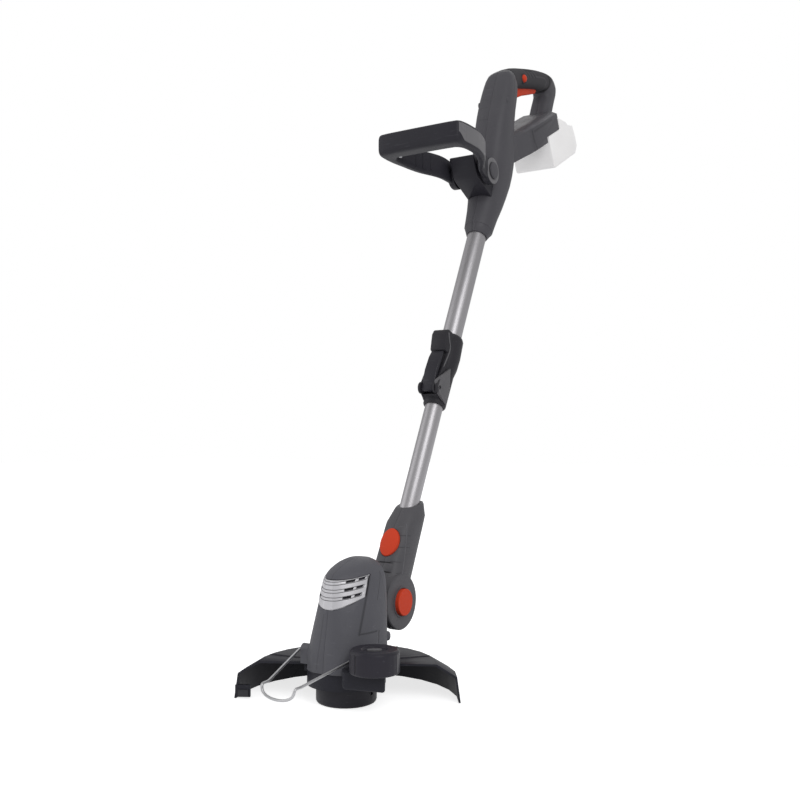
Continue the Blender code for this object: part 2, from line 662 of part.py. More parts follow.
def build_electronics():
    """Switch above the trigger, control board in the front body and contact block at the rail."""
    box("switch_module", GRIP, (-SWITCH_HALF, SWITCH_FRONT, SWITCH_LOW),
        (SWITCH_HALF, SWITCH_BACK, SWITCH_TOP), BLACK_PLASTIC, None, 0.0006)
    box("control_board", SHAFT, (-BOARD_HALF, BOARD_R, 0.8520), (BOARD_HALF, BOARD_R + 0.0016, 0.8900),
        BOARD_GREEN)
    block = box("terminal_block", FOOT, (-RAIL_HALF, RAIL_END + GAP, FOOT_STEP - 0.0060),
                (RAIL_HALF, RAIL_END + 0.0120, FOOT_STEP + RAIL_HEIGHT), BLACK_PLASTIC)
    for index, across in enumerate((-0.0110, -0.0030, 0.0110)):
        blade = box("blade_%d" % index, FOOT, (across - 0.0005, 0.8110, FOOT_STEP + 0.0010),
                    (across + 0.0005, 0.8230, FOOT_STEP + 0.0085))
        join(block, blade)


# battery
def build_battery():
    """Slide-on pack: body, rail head with lips, contact slots and a release button."""
    pack = prism("battery_pack", FOOT,
                 [(PACK_FRONT, PACK_LOW + 0.0030), (PACK_FRONT + 0.0040, PACK_LOW),
                  (PACK_BACK - 0.0140, PACK_LOW), (PACK_BACK, PACK_LOW + 0.0100),
                  (PACK_BACK, PACK_LOW + 0.0270), (PACK_BACK - 0.0048, PACK_LOW + 0.0470),
                  (0.9351, PACK_LOW + 0.0526), (0.9276, PACK_LOW + 0.0596),
                  (FOOT_END + 0.0070, PACK_CREST), (FOOT_END + 0.0045, PACK_CREST),
                  (FOOT_END + 0.0045, FOOT_STEP - GAP), (PACK_FRONT, FOOT_STEP - GAP)],
                 -PACK_HALF, PACK_HALF, "X", PACK_GREY)
    round_edges(pack, 0.0025, 2)
    neck = box("pack_rail_neck", FOOT, (-RAIL_HALF, PACK_FRONT + 0.002, FOOT_STEP - 0.004),
               (RAIL_HALF, FOOT_END + 0.006, FOOT_STEP + RAIL_HEIGHT))
    lips = box("pack_rail_lips", FOOT,
               (-RAIL_HALF - RAIL_LIP, PACK_FRONT + 0.002, FOOT_STEP + RAIL_HEIGHT - RAIL_LIP),
               (RAIL_HALF + RAIL_LIP, FOOT_END + 0.006, FOOT_STEP + RAIL_HEIGHT))
    join(pack, neck, lips)
    pocket = box("cut_release_pocket", FOOT, (-0.0120 - GAP, 0.9380, PACK_LOW + 0.0400),
                 (0.0120 + GAP, 0.9520, PACK_LOW + 0.0700), None, CUTTERS)
    cut(pack, pocket)
    box("battery_release_button", FOOT, (-0.0120, 0.9380 + GAP, PACK_LOW + 0.0432),
        (0.0120, 0.9520 - GAP, PACK_LOW + 0.0525), BLACK_PLASTIC, None, 0.0008)


# front handle
def build_front_handle():
    """Bracket on the neck, bolt, D-shaped loop with eyes and two bolt caps."""
    def shaft_to_hub(r, s):
        y, z = on_shaft(r, s)
        hub_y, hub_z = on_shaft(HUB_R, HUB_S)
        return y - hub_y, z - hub_z

    outline = [shaft_to_hub(*point) for point in (
        (-0.0100, 0.7370), (-0.0640, 0.7350), (-0.0700, 0.7365), (-0.0925, 0.7540), (-0.0905, 0.7575),
        (-0.0300, 0.7760), (-0.0100, 0.7800))]
    bracket = prism("handle_bracket", HUB, outline, -BRACKET_HALF, BRACKET_HALF, "X", BLACK_PLASTIC)
    round_edges(bracket, 0.0030, 2)
    for side in (-1, 1):
        low, high = sorted((side * (BRACKET_HALF - 0.002), side * (BRACKET_HALF + BRACKET_BOSS)))
        join(bracket, rod("bracket_boss_%d" % side, HUB, "X", low, high, EYE_R - 0.0030))
    clearance = loft("cut_bracket_neck", WORLD, body_rings(1.0, 5.0, 8, -GAP), None, CUTTERS)
    bore = rod("cut_bracket_bore", HUB, "X", -0.06, 0.06, BOLT_R + GAP, (0.0, 0.0), None, CUTTERS, 20)
    cut(bracket, clearance, bore)

    eye_low = BRACKET_HALF + BRACKET_BOSS + GAP
    eye_high = eye_low + EYE_THICK
    half_loop = (
        # outer x, y, inner x, y, half height, height of the middle
        (eye_high - 0.0008, -0.0060, eye_low + 0.0008, -0.0060, 0.0150, 0.0),
        (eye_high + 0.0050, -0.0380, eye_low + 0.0055, -0.0380, 0.0160, HANDLE_RISE * 0.5),
        (BAR_HALF - 0.0100, -0.0700, BAR_HALF - 0.0100 - ARM_THICK, -0.0700, 0.0162, HANDLE_RISE * 0.8),
        (BAR_HALF - 0.0020, -0.0997, BAR_HALF - 0.0020 - ARM_THICK, -0.0997, 0.0160, HANDLE_RISE),
        (BAR_HALF, -0.1227, BAR_HALF - 0.0010 - ARM_THICK, -0.1197, 0.0158, HANDLE_RISE),
        (BAR_HALF - 0.0008, -0.1447, BAR_HALF - 0.0030 - ARM_THICK, -0.1277, 0.0156, HANDLE_RISE),
        (BAR_HALF - 0.0050, -0.1567, BAR_HALF - 0.0080 - ARM_THICK, -0.1327, 0.0154, HANDLE_RISE),
        (BAR_HALF - 0.0130, -BAR_REACH, BAR_HALF - 0.0140 - ARM_THICK, -BAR_REACH + BAR_DEPTH, 0.0152,
         HANDLE_RISE),
        (0.0220, -BAR_REACH - 0.0015, 0.0220, -BAR_REACH + BAR_DEPTH, 0.0150, HANDLE_RISE),
    )
    mirrored = [(-ox, oy, -ix, iy, half, rise) for ox, oy, ix, iy, half, rise in reversed(half_loop)]
    stations = list(half_loop) + mirrored
    rings = []
    steps = 34
    for step in range(steps + 1):
        out_x, out_y, in_x, in_y, half, rise = path_at(stations, (len(stations) - 1) * step / steps)
        middle = Vector((out_x + in_x, out_y + in_y)) / 2.0
        reach = Vector((in_x - out_x, in_y - out_y)) / 2.0
        rings.append([(middle.x + reach.x * deep, middle.y + reach.y * deep, rise + up)
                      for up, deep in oval(half, 1.0, 1.0, HANDLE_POWER, 20)])
    handle = loft("front_handle", HUB, rings, BLACK_PLASTIC)
    for side in (-1, 1):
        low, high = sorted((side * eye_low, side * eye_high))
        join(handle, rod("handle_eye_%d" % side, HUB, "X", low, high, EYE_R))
    cut(handle, rod("cut_handle_bore", HUB, "X", -0.06, 0.06, BOLT_R + GAP, (0.0, 0.0), None, CUTTERS, 20))
    rod("handle_bolt", HUB, "X", -eye_high, eye_high, BOLT_R, (0.0, 0.0), STEEL, None, 20)
    for name, side in (("handle_cap_left", -1), ("handle_cap_right", 1)):
        low, high = sorted((side * (eye_high + GAP), side * (eye_high + GAP + CAP_THICK)))
        round_edges(rod(name, HUB, "X", low, high, CAP_R, (0.0, 0.0), COVER_GREY), 0.0006)


# shaft and clamp
def tube_profile(outer, low, high):
    """Closed profile of a tube wall."""
    inner = outer - TUBE_WALL
    return [(outer, high), (outer, low), (inner, low), (inner, high)]


def build_shaft():
    """Upper and lower tube, one sliding in the other."""
    turned("upper_tube", SHAFT, tube_profile(UPPER_R, S_UPPER_END + GAP, S_UPPER_TOP), ALUMINIUM)
    turned("lower_tube", SHAFT, tube_profile(LOWER_R, S_LOWER_END, S_LOWER_TOP), ALUMINIUM)


def build_clamp():
    """Stepped sleeve with a lever mount in front, its pin, cam lever and side cover."""
    low_r = LOWER_R + GAP + CLAMP_WALL
    high_r = UPPER_R + GAP + CLAMP_WALL
    body = turned("clamp_body", SHAFT, [
        (0.0, S_CLAMP_TOP), (high_r - 0.0010, S_CLAMP_TOP), (high_r + 0.0008, S_CLAMP_TOP - 0.004),
        (high_r + 0.0020, S_CLAMP_TOP - 0.030), (high_r + 0.0012, S_CLAMP_TOP - 0.048),
        (low_r + 0.0006, S_CLAMP_TOP - 0.060), (low_r, S_CLAMP_LOW + 0.002), (low_r - 0.0010, S_CLAMP_LOW),
        (0.0, S_CLAMP_LOW)], BLACK_PLASTIC)
    cheek_out = LEVER_HALF + GAP + CHEEK
    lever_top = LEVER_S + LEVER_LENGTH + 0.0010
    brow = prism("clamp_brow", SHAFT, [(-0.0100, S_CLAMP_TOP - 0.0010), (-BROW_OUT + 0.0020, S_CLAMP_TOP - 0.0030),
                                       (-BROW_OUT, S_CLAMP_TOP - 0.0120), (-BROW_OUT + 0.0055, lever_top),
                                       (-0.0100, lever_top)], -cheek_out + GAP, cheek_out - GAP, "X")
    round_edges(brow, 0.0025, 2)
    join(body, brow)
    for side in (-1, 1):
        low, high = sorted((side * (LEVER_HALF + GAP), side * cheek_out))
        cheek = prism("clamp_cheek_%d" % side, SHAFT, [
            (-0.0080, S_CLAMP_LOW + 0.0040), (-LEVER_OUT + 0.0040, LEVER_S - 0.0070),
            (-LEVER_OUT - 0.0035, LEVER_S + 0.0060), (-LEVER_OUT + 0.0060, lever_top + 0.0030),
            (-0.0080, lever_top + 0.0090)], low, high, "X")
        ear = rod("clamp_ear_%d" % side, LEVER, "X", low, high, LEVER_EAR, (0.0, 0.0), None, None, 28)
        join(body, cheek, ear)
    sill = prism("clamp_sill", SHAFT, [
        (-0.0080, S_CLAMP_LOW + 0.0042), (-LEVER_OUT + 0.0046, LEVER_S - 0.0072), (-LEVER_OUT + 0.0070, LEVER_S - 0.0055),
        (-0.0080, LEVER_S - 0.0055)], -LEVER_HALF - 0.0010, LEVER_HALF + 0.0010, "X")
    join(body, sill)
    bore = rod("cut_clamp_bore", SHAFT, "Z", S_CLAMP_LOW - PAD, S_CLAMP_TOP + PAD, LOWER_R + GAP,
               (0.0, 0.0), None, CUTTERS, TURN_STEPS)
    seat = rod("cut_clamp_seat", SHAFT, "Z", S_UPPER_END, S_CLAMP_TOP + PAD, UPPER_R + GAP, (0.0, 0.0),
               None, CUTTERS, TURN_STEPS)
    pin_hole = rod("cut_lever_pin", LEVER, "X", -0.03, 0.03, LEVER_PIN_R + GAP, (0.0, 0.0), None,
                   CUTTERS, 16)
    cut(body, bore, seat, pin_hole)
    rod("clamp_pin", LEVER, "X", -cheek_out - 0.0004, COVER_OUT - 0.0008, LEVER_PIN_R,
        (0.0, 0.0), STEEL, None, 16)
    lever = prism("clamp_lever", LEVER, [
        (-0.0035, -0.0055), (0.0045, -0.0045), (0.0060, 0.0030), (0.0010, 0.0080), (-0.0005, 0.0160),
        (0.0000, LEVER_LENGTH - 0.0020), (-0.0022, LEVER_LENGTH), (-0.0055, LEVER_LENGTH - 0.0110),
        (-0.0072, 0.0250), (-0.0058, 0.0120), (-0.0046, 0.0040)], -LEVER_HALF, LEVER_HALF, "X", BLACK_PLASTIC)
    round_edges(lever, 0.0008, 1)
    cut(lever, rod("cut_lever_bore", LEVER, "X", -0.03, 0.03, LEVER_PIN_R + GAP, (0.0, 0.0), None,
                   CUTTERS, 16))
    cover = prism("clamp_cover", LEVER, [(-0.0112, 0.0030), (0.0010, -0.0075), (0.0258, -0.0142),
                                         (0.0262, 0.0100), (0.0150, 0.0378), (-0.0107, 0.0066)],
                  cheek_out + GAP, COVER_OUT, "X", COVER_GREY)
    round_edges(cover, 0.0006)
    room = turned("cut_cover_room", SHAFT, [
        (0.0, S_CLAMP_TOP), (high_r + 0.0020 + GAP, S_CLAMP_TOP - 0.030),
        (high_r + 0.0012 + GAP, S_CLAMP_TOP - 0.048), (low_r + 0.0006 + GAP, S_CLAMP_TOP - 0.060),
        (low_r + GAP, S_CLAMP_LOW - PAD), (0.0, S_CLAMP_LOW - PAD)], None, CUTTERS)
    cut(cover, room, rod("cut_cover_pin", LEVER, "X", -0.03, 0.03, LEVER_PIN_R + GAP, (0.0, 0.0), None,
                         CUTTERS, 16))


# lower arm
def build_arm():
    """Socket, waist and disc-ended fork in two halves, with the rotation lock button in front."""
    stations = ((S_ARM_TOP, 0.0150, ARM_SLANT), (S_ARM_TOP - 0.0030, 0.0164, ARM_SLANT),
                (S_ARM_TOP - 0.0200, ARM_R - 0.0010, 0.95 * ARM_SLANT), (S_ARM_TOP - 0.0300, ARM_R, 0.75 * ARM_SLANT),
                (0.2000, ARM_R + 0.0005, 0.35 * ARM_SLANT), (0.1650, ARM_R + 0.0020, 0.0),
                (0.1300, ARM_R + 0.0030, 0.0))
    rings = [[(x, r, s + slant * r) for x, r in oval(min(half, DISC_HALF - 0.0008), half, half, 2.7)]
             for s, half, slant in stations]
    arm = loft("arm_blank", SHAFT, rings, HOUSING_GREY)
    disc = rod("arm_disc", PIVOT, "X", -DISC_HALF, DISC_HALF, DISC_R, (0.0, 0.0), None, None, 48)
    round_edges(disc, 0.0012, 1)
    join(arm, disc)
    bore = rod("cut_arm_bore", SHAFT, "Z", S_LOWER_END - GAP, S_ARM_TOP + PAD, LOWER_R + GAP, (0.0, 0.0),
               None, CUTTERS, TURN_STEPS)
    reach = LUG_R + 0.0012
    first = math.asin(FORK_TOP / reach)
    turns = [first + (math.pi - 2 * first) * step / 16 for step in range(17)]
    outline = [(PIVOT_OFF + reach * math.cos(turn), PIVOT_S + reach * math.sin(turn)) for turn in turns]
    outline += [(-0.08, PIVOT_S + FORK_TOP), (-0.08, PIVOT_S - 0.08), (0.08, PIVOT_S - 0.08),
                (0.08, PIVOT_S + FORK_TOP)]
    slot = prism("cut_fork", SHAFT, outline, -LUG_HALF, LUG_HALF, "X", None, CUTTERS)
    knob_seat = rod("cut_knob_seat", PIVOT, "X", LUG_HALF - 0.002, DISC_HALF + PAD, KNOB_R + GAP,
                    (0.0, 0.0), None, CUTTERS)
    oval_seat = button_prism("cut_oval_seat", GAP, -0.0400, -0.0165, None, CUTTERS)
    cut(arm, bore, slot, knob_seat, oval_seat)
    for index, low in enumerate((0.1580, 0.1455)):
        groove = box("cut_arm_groove_%d" % index, SHAFT, (-0.03, -0.04, low),
                     (0.03, -ARM_R + 0.0005, low + 0.0016), None, CUTTERS)
        cut(arm, groove)
    settle(arm)
    split_halves(arm, ("arm_left", "arm_right"), SHAFT, HOUSING_GREY)
    bpy.data.objects.remove(arm)
    button = button_prism("rotation_button", 0.0, -ARM_R - 0.0040, -0.0165 - BUTTON_STROKE - BUTTON_ROOM, ORANGE)
    round_edges(button, 0.0010, 2)
    knob = rod("tilt_button", PIVOT, "X", LUG_HALF + BUTTON_STROKE + KNOB_ROOM, DISC_HALF + KNOB_OUT, KNOB_R,
               (0.0, 0.0), ORANGE)
    round_edges(knob, 0.0012, 2)


def button_prism(name, grow, low, high, material=None, collection=None):
    """The oval button's outline, pushed along the direction in which it is pressed."""
    outline = [(math.cos(math.tau * i / 28) * (OVAL_HALF + grow),
                OVAL_S + math.sin(math.tau * i / 28) * (OVAL_LONG + grow)) for i in range(28)]
    return prism(name, SHAFT, outline, low, high, "Y", material, collection)


# motor housing


def rounded_corner(before, corner, after, radius, count):
    """Points on a quadratic arc that rounds a corner, starting a radius away from it on both sides."""
    corner = Vector(corner)
    start = corner + (Vector(before) - corner).normalized() * radius
    end = corner + (Vector(after) - corner).normalized() * radius
    points = []
    for index in range(count):
        blend = index / (count - 1)
        points.append(start * (1 - blend) ** 2 + corner * 2 * blend * (1 - blend) + end * blend ** 2)
    return points


def motor_ring(place, grow=0.0):
    """The motor housing's section: rounded back, upright sides, bowed cheeks and a narrow nose."""
    z, front, rear, half, widest, power = path_at(HOUSING_SECTIONS, place)
    front, rear, half = front - grow, rear + grow, half + grow
    right = rounded_corner((0.0, rear), (half, rear), (half, widest), half * REAR_ROUND, 7)
    for index in range(CHEEK_POINTS):
        turn = math.pi / 2.0 * (index + 0.5) / CHEEK_POINTS
        x = half * math.cos(turn) ** (2.0 / power)
        y = widest - (widest - front) * math.sin(turn) ** (2.0 / power)
        right.append(Vector((x, max(y, front + NOSE_FLAT))))
    ring = right + [Vector((-point.x, point.y)) for point in reversed(right)]
    return [(point.x, point.y - PIVOT_Y, z - PIVOT_Z) for point in ring]


def motor_loft(name, grow=0.0, material=None, collection=None):
    """The motor housing's body, grown or shrunk all round."""
    last = len(HOUSING_SECTIONS) - 1
    steps = 16
    rings = [motor_ring(last * step / steps, grow) for step in range(steps + 1)]
    if grow > 0.0:
        rings.insert(0, [(x, y, z - grow) for x, y, z in rings[0]])
    return loft(name, PIVOT, rings, material, collection)


def shield(name, grow, collection=None):
    """The vent grille's front view outline, pushed through the housing's front."""
    right = []
    for x, z in GRILLE_OUTLINE:
        away = Vector((x, z - GRILLE_MIDDLE))
        away += away.normalized() * grow
        right.append((away.x, away.y + GRILLE_MIDDLE - PIVOT_Z))
    outline = right + [(-x, z) for x, z in reversed(right)]
    return prism(name, PIVOT, outline, -0.150, 0.0080 - PIVOT_Y + grow, "Y", SILVER, collection)


def build_motor_housing():
    """Two shell halves with the motor room, the tilt lug, the wire ears and a vent grille."""
    body = motor_loft("motor_housing_blank", 0.0, HOUSING_GREY)
    lug = rod("motor_lug", PIVOT, "X", -LUG_HALF + GAP, LUG_HALF - GAP, LUG_R, (0.0, 0.0), None, None, 40)
    web = prism("motor_web", PIVOT, [(0.0350 - PIVOT_Y, -0.0280), (0.0000, -LUG_R + 0.0010),
                                     (0.0000, 0.0040), (0.0350 - PIVOT_Y, 0.0140)],
                -LUG_HALF + GAP, LUG_HALF - GAP, "X")
    turns = [math.pi * step / 12 for step in range(13)]
    outline = [(WIRE_PIVOT_Y + EAR_R * math.cos(turn), WIRE_PIVOT_Z + EAR_R * math.sin(turn)) for turn in turns]
    outline += [(WIRE_PIVOT_Y - EAR_R, EAR_FOOT), (WIRE_PIVOT_Y + EAR_R, EAR_FOOT)]
    left_ear = prism("wire_ear_left", WORLD, outline, WIRE_LEFT_X, -MOTOR_R, "X")
    right_ear = rod("wire_ear_right", WORLD, "X", MOTOR_R, WIRE_PIVOT_X, EAR_R, (WIRE_PIVOT_Y, WIRE_PIVOT_Z),
                    None, None, 20)
    join(body, lug, web, left_ear, right_ear)
    room = rod("cut_motor_room", WORLD, "Z", BASE_Z - PAD, MOTOR_HIGH + 0.006, MOTOR_R + 0.0020, (0.0, 0.0),
               None, CUTTERS)
    pin = rod("cut_ear_bore", WORLD, "X", -0.08, 0.08, WIRE_R + GAP, (WIRE_PIVOT_Y, WIRE_PIVOT_Z), None,
              CUTTERS, 16)
    recess = shield("cut_grille_recess", GAP, CUTTERS)
    keep = motor_loft("cut_recess_floor", -0.0020, None, CUTTERS)
    cut(recess, keep)
    vent = box("cut_vent_window", WORLD, (-0.0286, -0.05, 0.1244), (0.0286, 0.0, 0.1446), None, CUTTERS)
    cut(body, room, pin, recess, vent)
    settle(body)
    split_halves(body, ("motor_housing_left", "motor_housing_right"), PIVOT, HOUSING_GREY)
    bpy.data.objects.remove(body)

    grille = shield("vent_grille", 0.0)
    skin = motor_loft("grille_skin", 0.0004, None, CUTTERS)
    boolean(grille, skin, "INTERSECT")
    inner = motor_loft("cut_grille_back", -0.0017, None, CUTTERS)
    cut(grille, inner)
    bm = bmesh.new()
    for z, *spans in SLOT_ROWS:
        for near, far in spans:
            for side in (-1, 1):
                cube = bmesh.ops.create_cube(bm, size=1.0)["verts"]
                bmesh.ops.scale(bm, vec=(far - near, 0.070, 2 * SLOT_HALF), verts=cube)
                bmesh.ops.translate(bm, vec=(side * (near + far) / 2.0, -0.025, z), verts=cube)
    cut(grille, add_object("cut_slots", mesh_from(bm, "cut_slots"), WORLD, None, CUTTERS))


def build_motor():
    """Motor can and its shaft, which carries the spool head."""
    turned("motor_can", PIVOT, [(0.0, MOTOR_HIGH - PIVOT_Z), (MOTOR_R * 0.4, MOTOR_HIGH - PIVOT_Z),
                                      (MOTOR_R, MOTOR_HIGH - 0.004 - PIVOT_Z), (MOTOR_R, MOTOR_LOW - PIVOT_Z),
                                      (SHAFT_R + GAP, MOTOR_LOW - PIVOT_Z),
                                      (SHAFT_R + GAP, MOTOR_LOW + 0.02 - PIVOT_Z),
                                      (0.0, MOTOR_LOW + 0.02 - PIVOT_Z)], STEEL, None, (0.0, -PIVOT_Y))


# guard
def build_guard():
    """Half-round hood behind the spool, the ring round the spool's neck and the spare spool's seat."""
    step = GUARD_WALL
    hood = turned("guard", HOOD, [
        (GUARD_PLATE_R, GUARD_TOP), (GUARD_R - 0.0040, GUARD_SHOULDER), (GUARD_R, 0.0005),
        (GUARD_R - step, 0.0005), (GUARD_R - 0.0040 - step, GUARD_SHOULDER - 0.0016),
        (GUARD_PLATE_R - 0.0010, GUARD_TOP - step), (RING_R + 0.0014 + step, GUARD_TOP - step),
        (RING_R + 0.0014 + step, GUARD_TOP - 0.010), (RING_R - 0.0008, GUARD_TOP - 0.010),
        (RING_R - 0.0008, BASE_Z - 0.0008), (RING_R + 0.0014, BASE_Z - 0.0008),
        (RING_R + 0.0014, GUARD_TOP)], BLACK_PLASTIC, None, (0.0, 0.0), 14, math.pi, 0.0)
    plate_top = BASE_Z - GAP
    ring = turned("guard_ring", WORLD, [(RING_R, plate_top), (RING_R, RING_LOW), (RING_R - step, RING_LOW),
                                        (RING_R - step, plate_top - step), (0.0120, plate_top - step),
                                        (0.0120, plate_top)], None)
    seat_low = SPARE_LOW - GAP
    seat = prism("guard_spare_seat", WORLD, SEAT_OUTLINE, SEAT_LOW, seat_low, "Z")
    round_edges(seat, 0.0030, 2)
    hollow = turned("cut_seat_ring", WORLD, [(0.0, GUARD_TOP + PAD), (RING_R - step / 2, GUARD_TOP + PAD),
                                             (RING_R - step / 2, -PAD), (0.0, -PAD)], None, CUTTERS)
    cut(seat, hollow)
    peg = rod("guard_spare_peg", WORLD, "Z", seat_low - 0.002, SPARE_TOP - 0.004, 0.0050,
              (SPARE_X, SPARE_Y), None, None, 20)
    join(hood, ring, seat, peg)
    cut(hood, motor_loft("cut_guard_housing", 2 * GAP, None, CUTTERS))
    box("line_cutter", HOOD, (-GUARD_R + 0.0045, -0.0010 - GAP, 0.0030),
        (-GUARD_R + 0.0170, -GAP, 0.0110), STEEL)
    lug = box("guard_cutter_lug", HOOD, (-GUARD_R + 0.0010, 0.0, 0.0020), (-GUARD_R + 0.0190, 0.0040, 0.0160))
    join(hood, lug)


def build_spare_spool():
    """Spare line spool on its peg: two flanges, waist with line, and the coin-slot cap."""
    middle = (SPARE_X, SPARE_Y)
    turned("spare_spool", WORLD, [
        (SPARE_R - 0.0020, SPARE_TOP), (SPARE_R, SPARE_TOP - 0.0022), (SPARE_R, SPARE_LOW + 0.0010),
        (SPARE_R - 0.0010, SPARE_LOW), (0.0050 + GAP, SPARE_LOW), (0.0050 + GAP, SPARE_TOP - 0.0030),
        (0.0120, SPARE_TOP - 0.0030), (0.0140, SPARE_TOP)], BLACK_PLASTIC, None, middle)


# spool head
def build_spool_head():
    """Drive shaft, spool housing, cup, line spool, spring and wound line."""
    rod("drive_shaft", WORLD, "Z", HEAD_TOP - 0.020, MOTOR_LOW + 0.019, SHAFT_R, (0.0, 0.0), STEEL,
        None, 20)
    lid = HEAD_TOP - 0.0022
    turned("spool_housing", WORLD, [
        (0.0080, HEAD_TOP), (SPOOL_R - 0.0030, HEAD_TOP - 0.0010), (SPOOL_R - 0.0010, HEAD_TOP - 0.0030),
        (SPOOL_R - 0.0010, CUP_TOP + GAP), (SPOOL_R - 0.0034, CUP_TOP + GAP), (SPOOL_R - 0.0034, lid - 0.002),
        (SHAFT_R + GAP + 0.0050, lid - 0.002), (SHAFT_R + GAP + 0.0050, CUP_TOP - 0.004),
        (SHAFT_R + GAP, CUP_TOP - 0.004), (SHAFT_R + GAP, HEAD_TOP)], BLACK_PLASTIC)
    cup = turned("spool_cup", WORLD, [
        (SPOOL_R, CUP_TOP), (SPOOL_R, 0.0036), (SPOOL_R - 0.0012, 0.0012), (SPOOL_R - 0.0038, 0.0),
        (0.0, 0.0), (0.0, 0.0024), (SPOOL_R - 0.0044, 0.0024), (SPOOL_R - WALL, 0.0050),
        (SPOOL_R - WALL, CUP_TOP)], BLACK_PLASTIC)
    for side in (-1, 1):
        eyelet = rod("cut_eyelet_%d" % side, WORLD, "X", *sorted((side * 0.02, side * 0.05)), 0.0022,
                     (0.0, 0.0140), None, CUTTERS, 12)
        cut(cup, eyelet)
    turned("line_spool", WORLD, [
        (CORE_R, 0.0215), (CORE_R, 0.0200), (0.0125, 0.0200), (0.0125, 0.0090), (CORE_R, 0.0090),
        (CORE_R, 0.0075), (0.0120, 0.0075), (0.0120, 0.0024 + GAP), (0.0070, 0.0024 + GAP),
        (0.0070, CUP_TOP - 0.0040 - GAP), (0.0120, CUP_TOP - 0.0040 - GAP), (0.0120, 0.0215)], BLACK_PLASTIC)
    turned("wound_line", WORLD, [(CORE_R - 0.0025, 0.0200 - GAP), (CORE_R - 0.0025, 0.0090 + GAP),
                                 (0.0125 + GAP, 0.0090 + GAP), (0.0125 + GAP, 0.0200 - GAP)], LINE_ORANGE)


# edge guide wire
def wire_end(pivot, bend):
    """One end of the wire: its stub in the ear's bore, then the bend outside the ear."""
    out = math.copysign(1.0, pivot)
    return [(pivot - out * WIRE_STUB, 0.0, 0.0), (pivot + out * (bend - 0.0007), 0.0, 0.0),
            (pivot + out * bend, -0.0025, -0.0006)]


def build_wire():
    """Sprung steel wire from ear to ear with a hanging loop at its nose."""
    knee_y = WIRE_KNEE_Y - WIRE_PIVOT_Y
    knee_z = WIRE_KNEE_Z - WIRE_PIVOT_Z
    points = wire_end(WIRE_LEFT_X, WIRE_LEFT_BEND)
    points += [(-WIRE_KNEE_X, knee_y, knee_z), (-WIRE_KNEE_X, knee_y - WIRE_NOSE, knee_z)]
    for index in range(1, 8):
        turn = math.pi * index / 8
        points.append((-WIRE_KNEE_X * math.cos(turn), knee_y - WIRE_NOSE - 0.001,
                       knee_z - WIRE_DROP * math.sin(turn) ** 0.7))
    points += [(WIRE_KNEE_X, knee_y - WIRE_NOSE, knee_z), (WIRE_KNEE_X, knee_y, knee_z)]
    points += reversed(wire_end(WIRE_PIVOT_X, WIRE_BEND))
    curve = bpy.data.curves.new("edge_wire_curve", "CURVE")
    curve.dimensions = "3D"
    curve.bevel_depth = WIRE_R
    curve.bevel_resolution = 2
    curve.use_fill_caps = True
    spline = curve.splines.new("POLY")
    spline.points.add(len(points) - 1)
    for target, point in zip(spline.points, points):
        target.co = (*point, 1.0)
    frame = make_frame("frame_wire", (0.0, WIRE_PIVOT_Y, WIRE_PIVOT_Z))
    holder = bpy.data.objects.new("edge_wire_guide", curve)
    CUTTERS.objects.link(holder)
    bpy.context.view_layer.update()
    graph = bpy.context.evaluated_depsgraph_get()
    mesh = bpy.data.meshes.new_from_object(holder.evaluated_get(graph))
    bpy.data.objects.remove(holder)
    bm = bmesh.new()
    bm.from_mesh(mesh)
    add_object("edge_wire", mesh_from(bm, "edge_wire"), frame, STEEL)


build_housing()
build_housing_screws()
build_grip()
build_controls()
build_electronics()
build_battery()
build_front_handle()
build_shaft()
build_clamp()
build_arm()
build_motor_housing()
build_motor()
build_guard()
build_spare_spool()
build_spool_head()
build_wire()
bpy.context.view_layer.update()
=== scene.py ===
"""Looks of the cordless string trimmer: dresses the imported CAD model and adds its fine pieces.

Lengths are in metres. The origin is the middle of the spool's lower face, +Z is up, -Y is the mowing
direction and +X is the operator's right. Sub-assemblies are worked out in frames of their own (the shaft,
the battery foot, the grip) and put into the world before their mesh is made.
"""

import json
import logging
import math
from dataclasses import dataclass, field
from enum import Enum

import bmesh
import bpy
import numpy as np
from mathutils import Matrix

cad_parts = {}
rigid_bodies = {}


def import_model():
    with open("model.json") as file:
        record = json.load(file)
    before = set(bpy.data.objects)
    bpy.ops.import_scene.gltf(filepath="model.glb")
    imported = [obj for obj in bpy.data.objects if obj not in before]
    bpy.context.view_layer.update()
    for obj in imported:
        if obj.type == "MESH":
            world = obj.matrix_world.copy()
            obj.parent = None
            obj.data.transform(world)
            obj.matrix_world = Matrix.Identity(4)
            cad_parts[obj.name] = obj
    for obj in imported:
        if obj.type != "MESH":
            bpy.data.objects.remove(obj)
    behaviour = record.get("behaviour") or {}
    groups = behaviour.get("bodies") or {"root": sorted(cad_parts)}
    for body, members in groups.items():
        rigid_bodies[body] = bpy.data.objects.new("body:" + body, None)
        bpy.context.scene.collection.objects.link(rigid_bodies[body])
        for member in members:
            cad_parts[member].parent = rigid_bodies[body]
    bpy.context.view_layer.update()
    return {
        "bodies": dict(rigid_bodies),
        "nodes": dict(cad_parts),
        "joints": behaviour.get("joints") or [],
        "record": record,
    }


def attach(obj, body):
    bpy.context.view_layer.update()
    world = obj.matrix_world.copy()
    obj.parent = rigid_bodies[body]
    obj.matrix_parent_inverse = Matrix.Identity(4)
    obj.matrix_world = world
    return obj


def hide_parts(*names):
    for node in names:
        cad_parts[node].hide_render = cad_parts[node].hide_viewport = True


LOG = logging.getLogger("string_trimmer")
Point = tuple[float, float, float]
Pair = tuple[float, float]
Curve = tuple[tuple[float, ...], tuple[float, ...]]
Colour = tuple[float, float, float, float]
Grid = np.ndarray

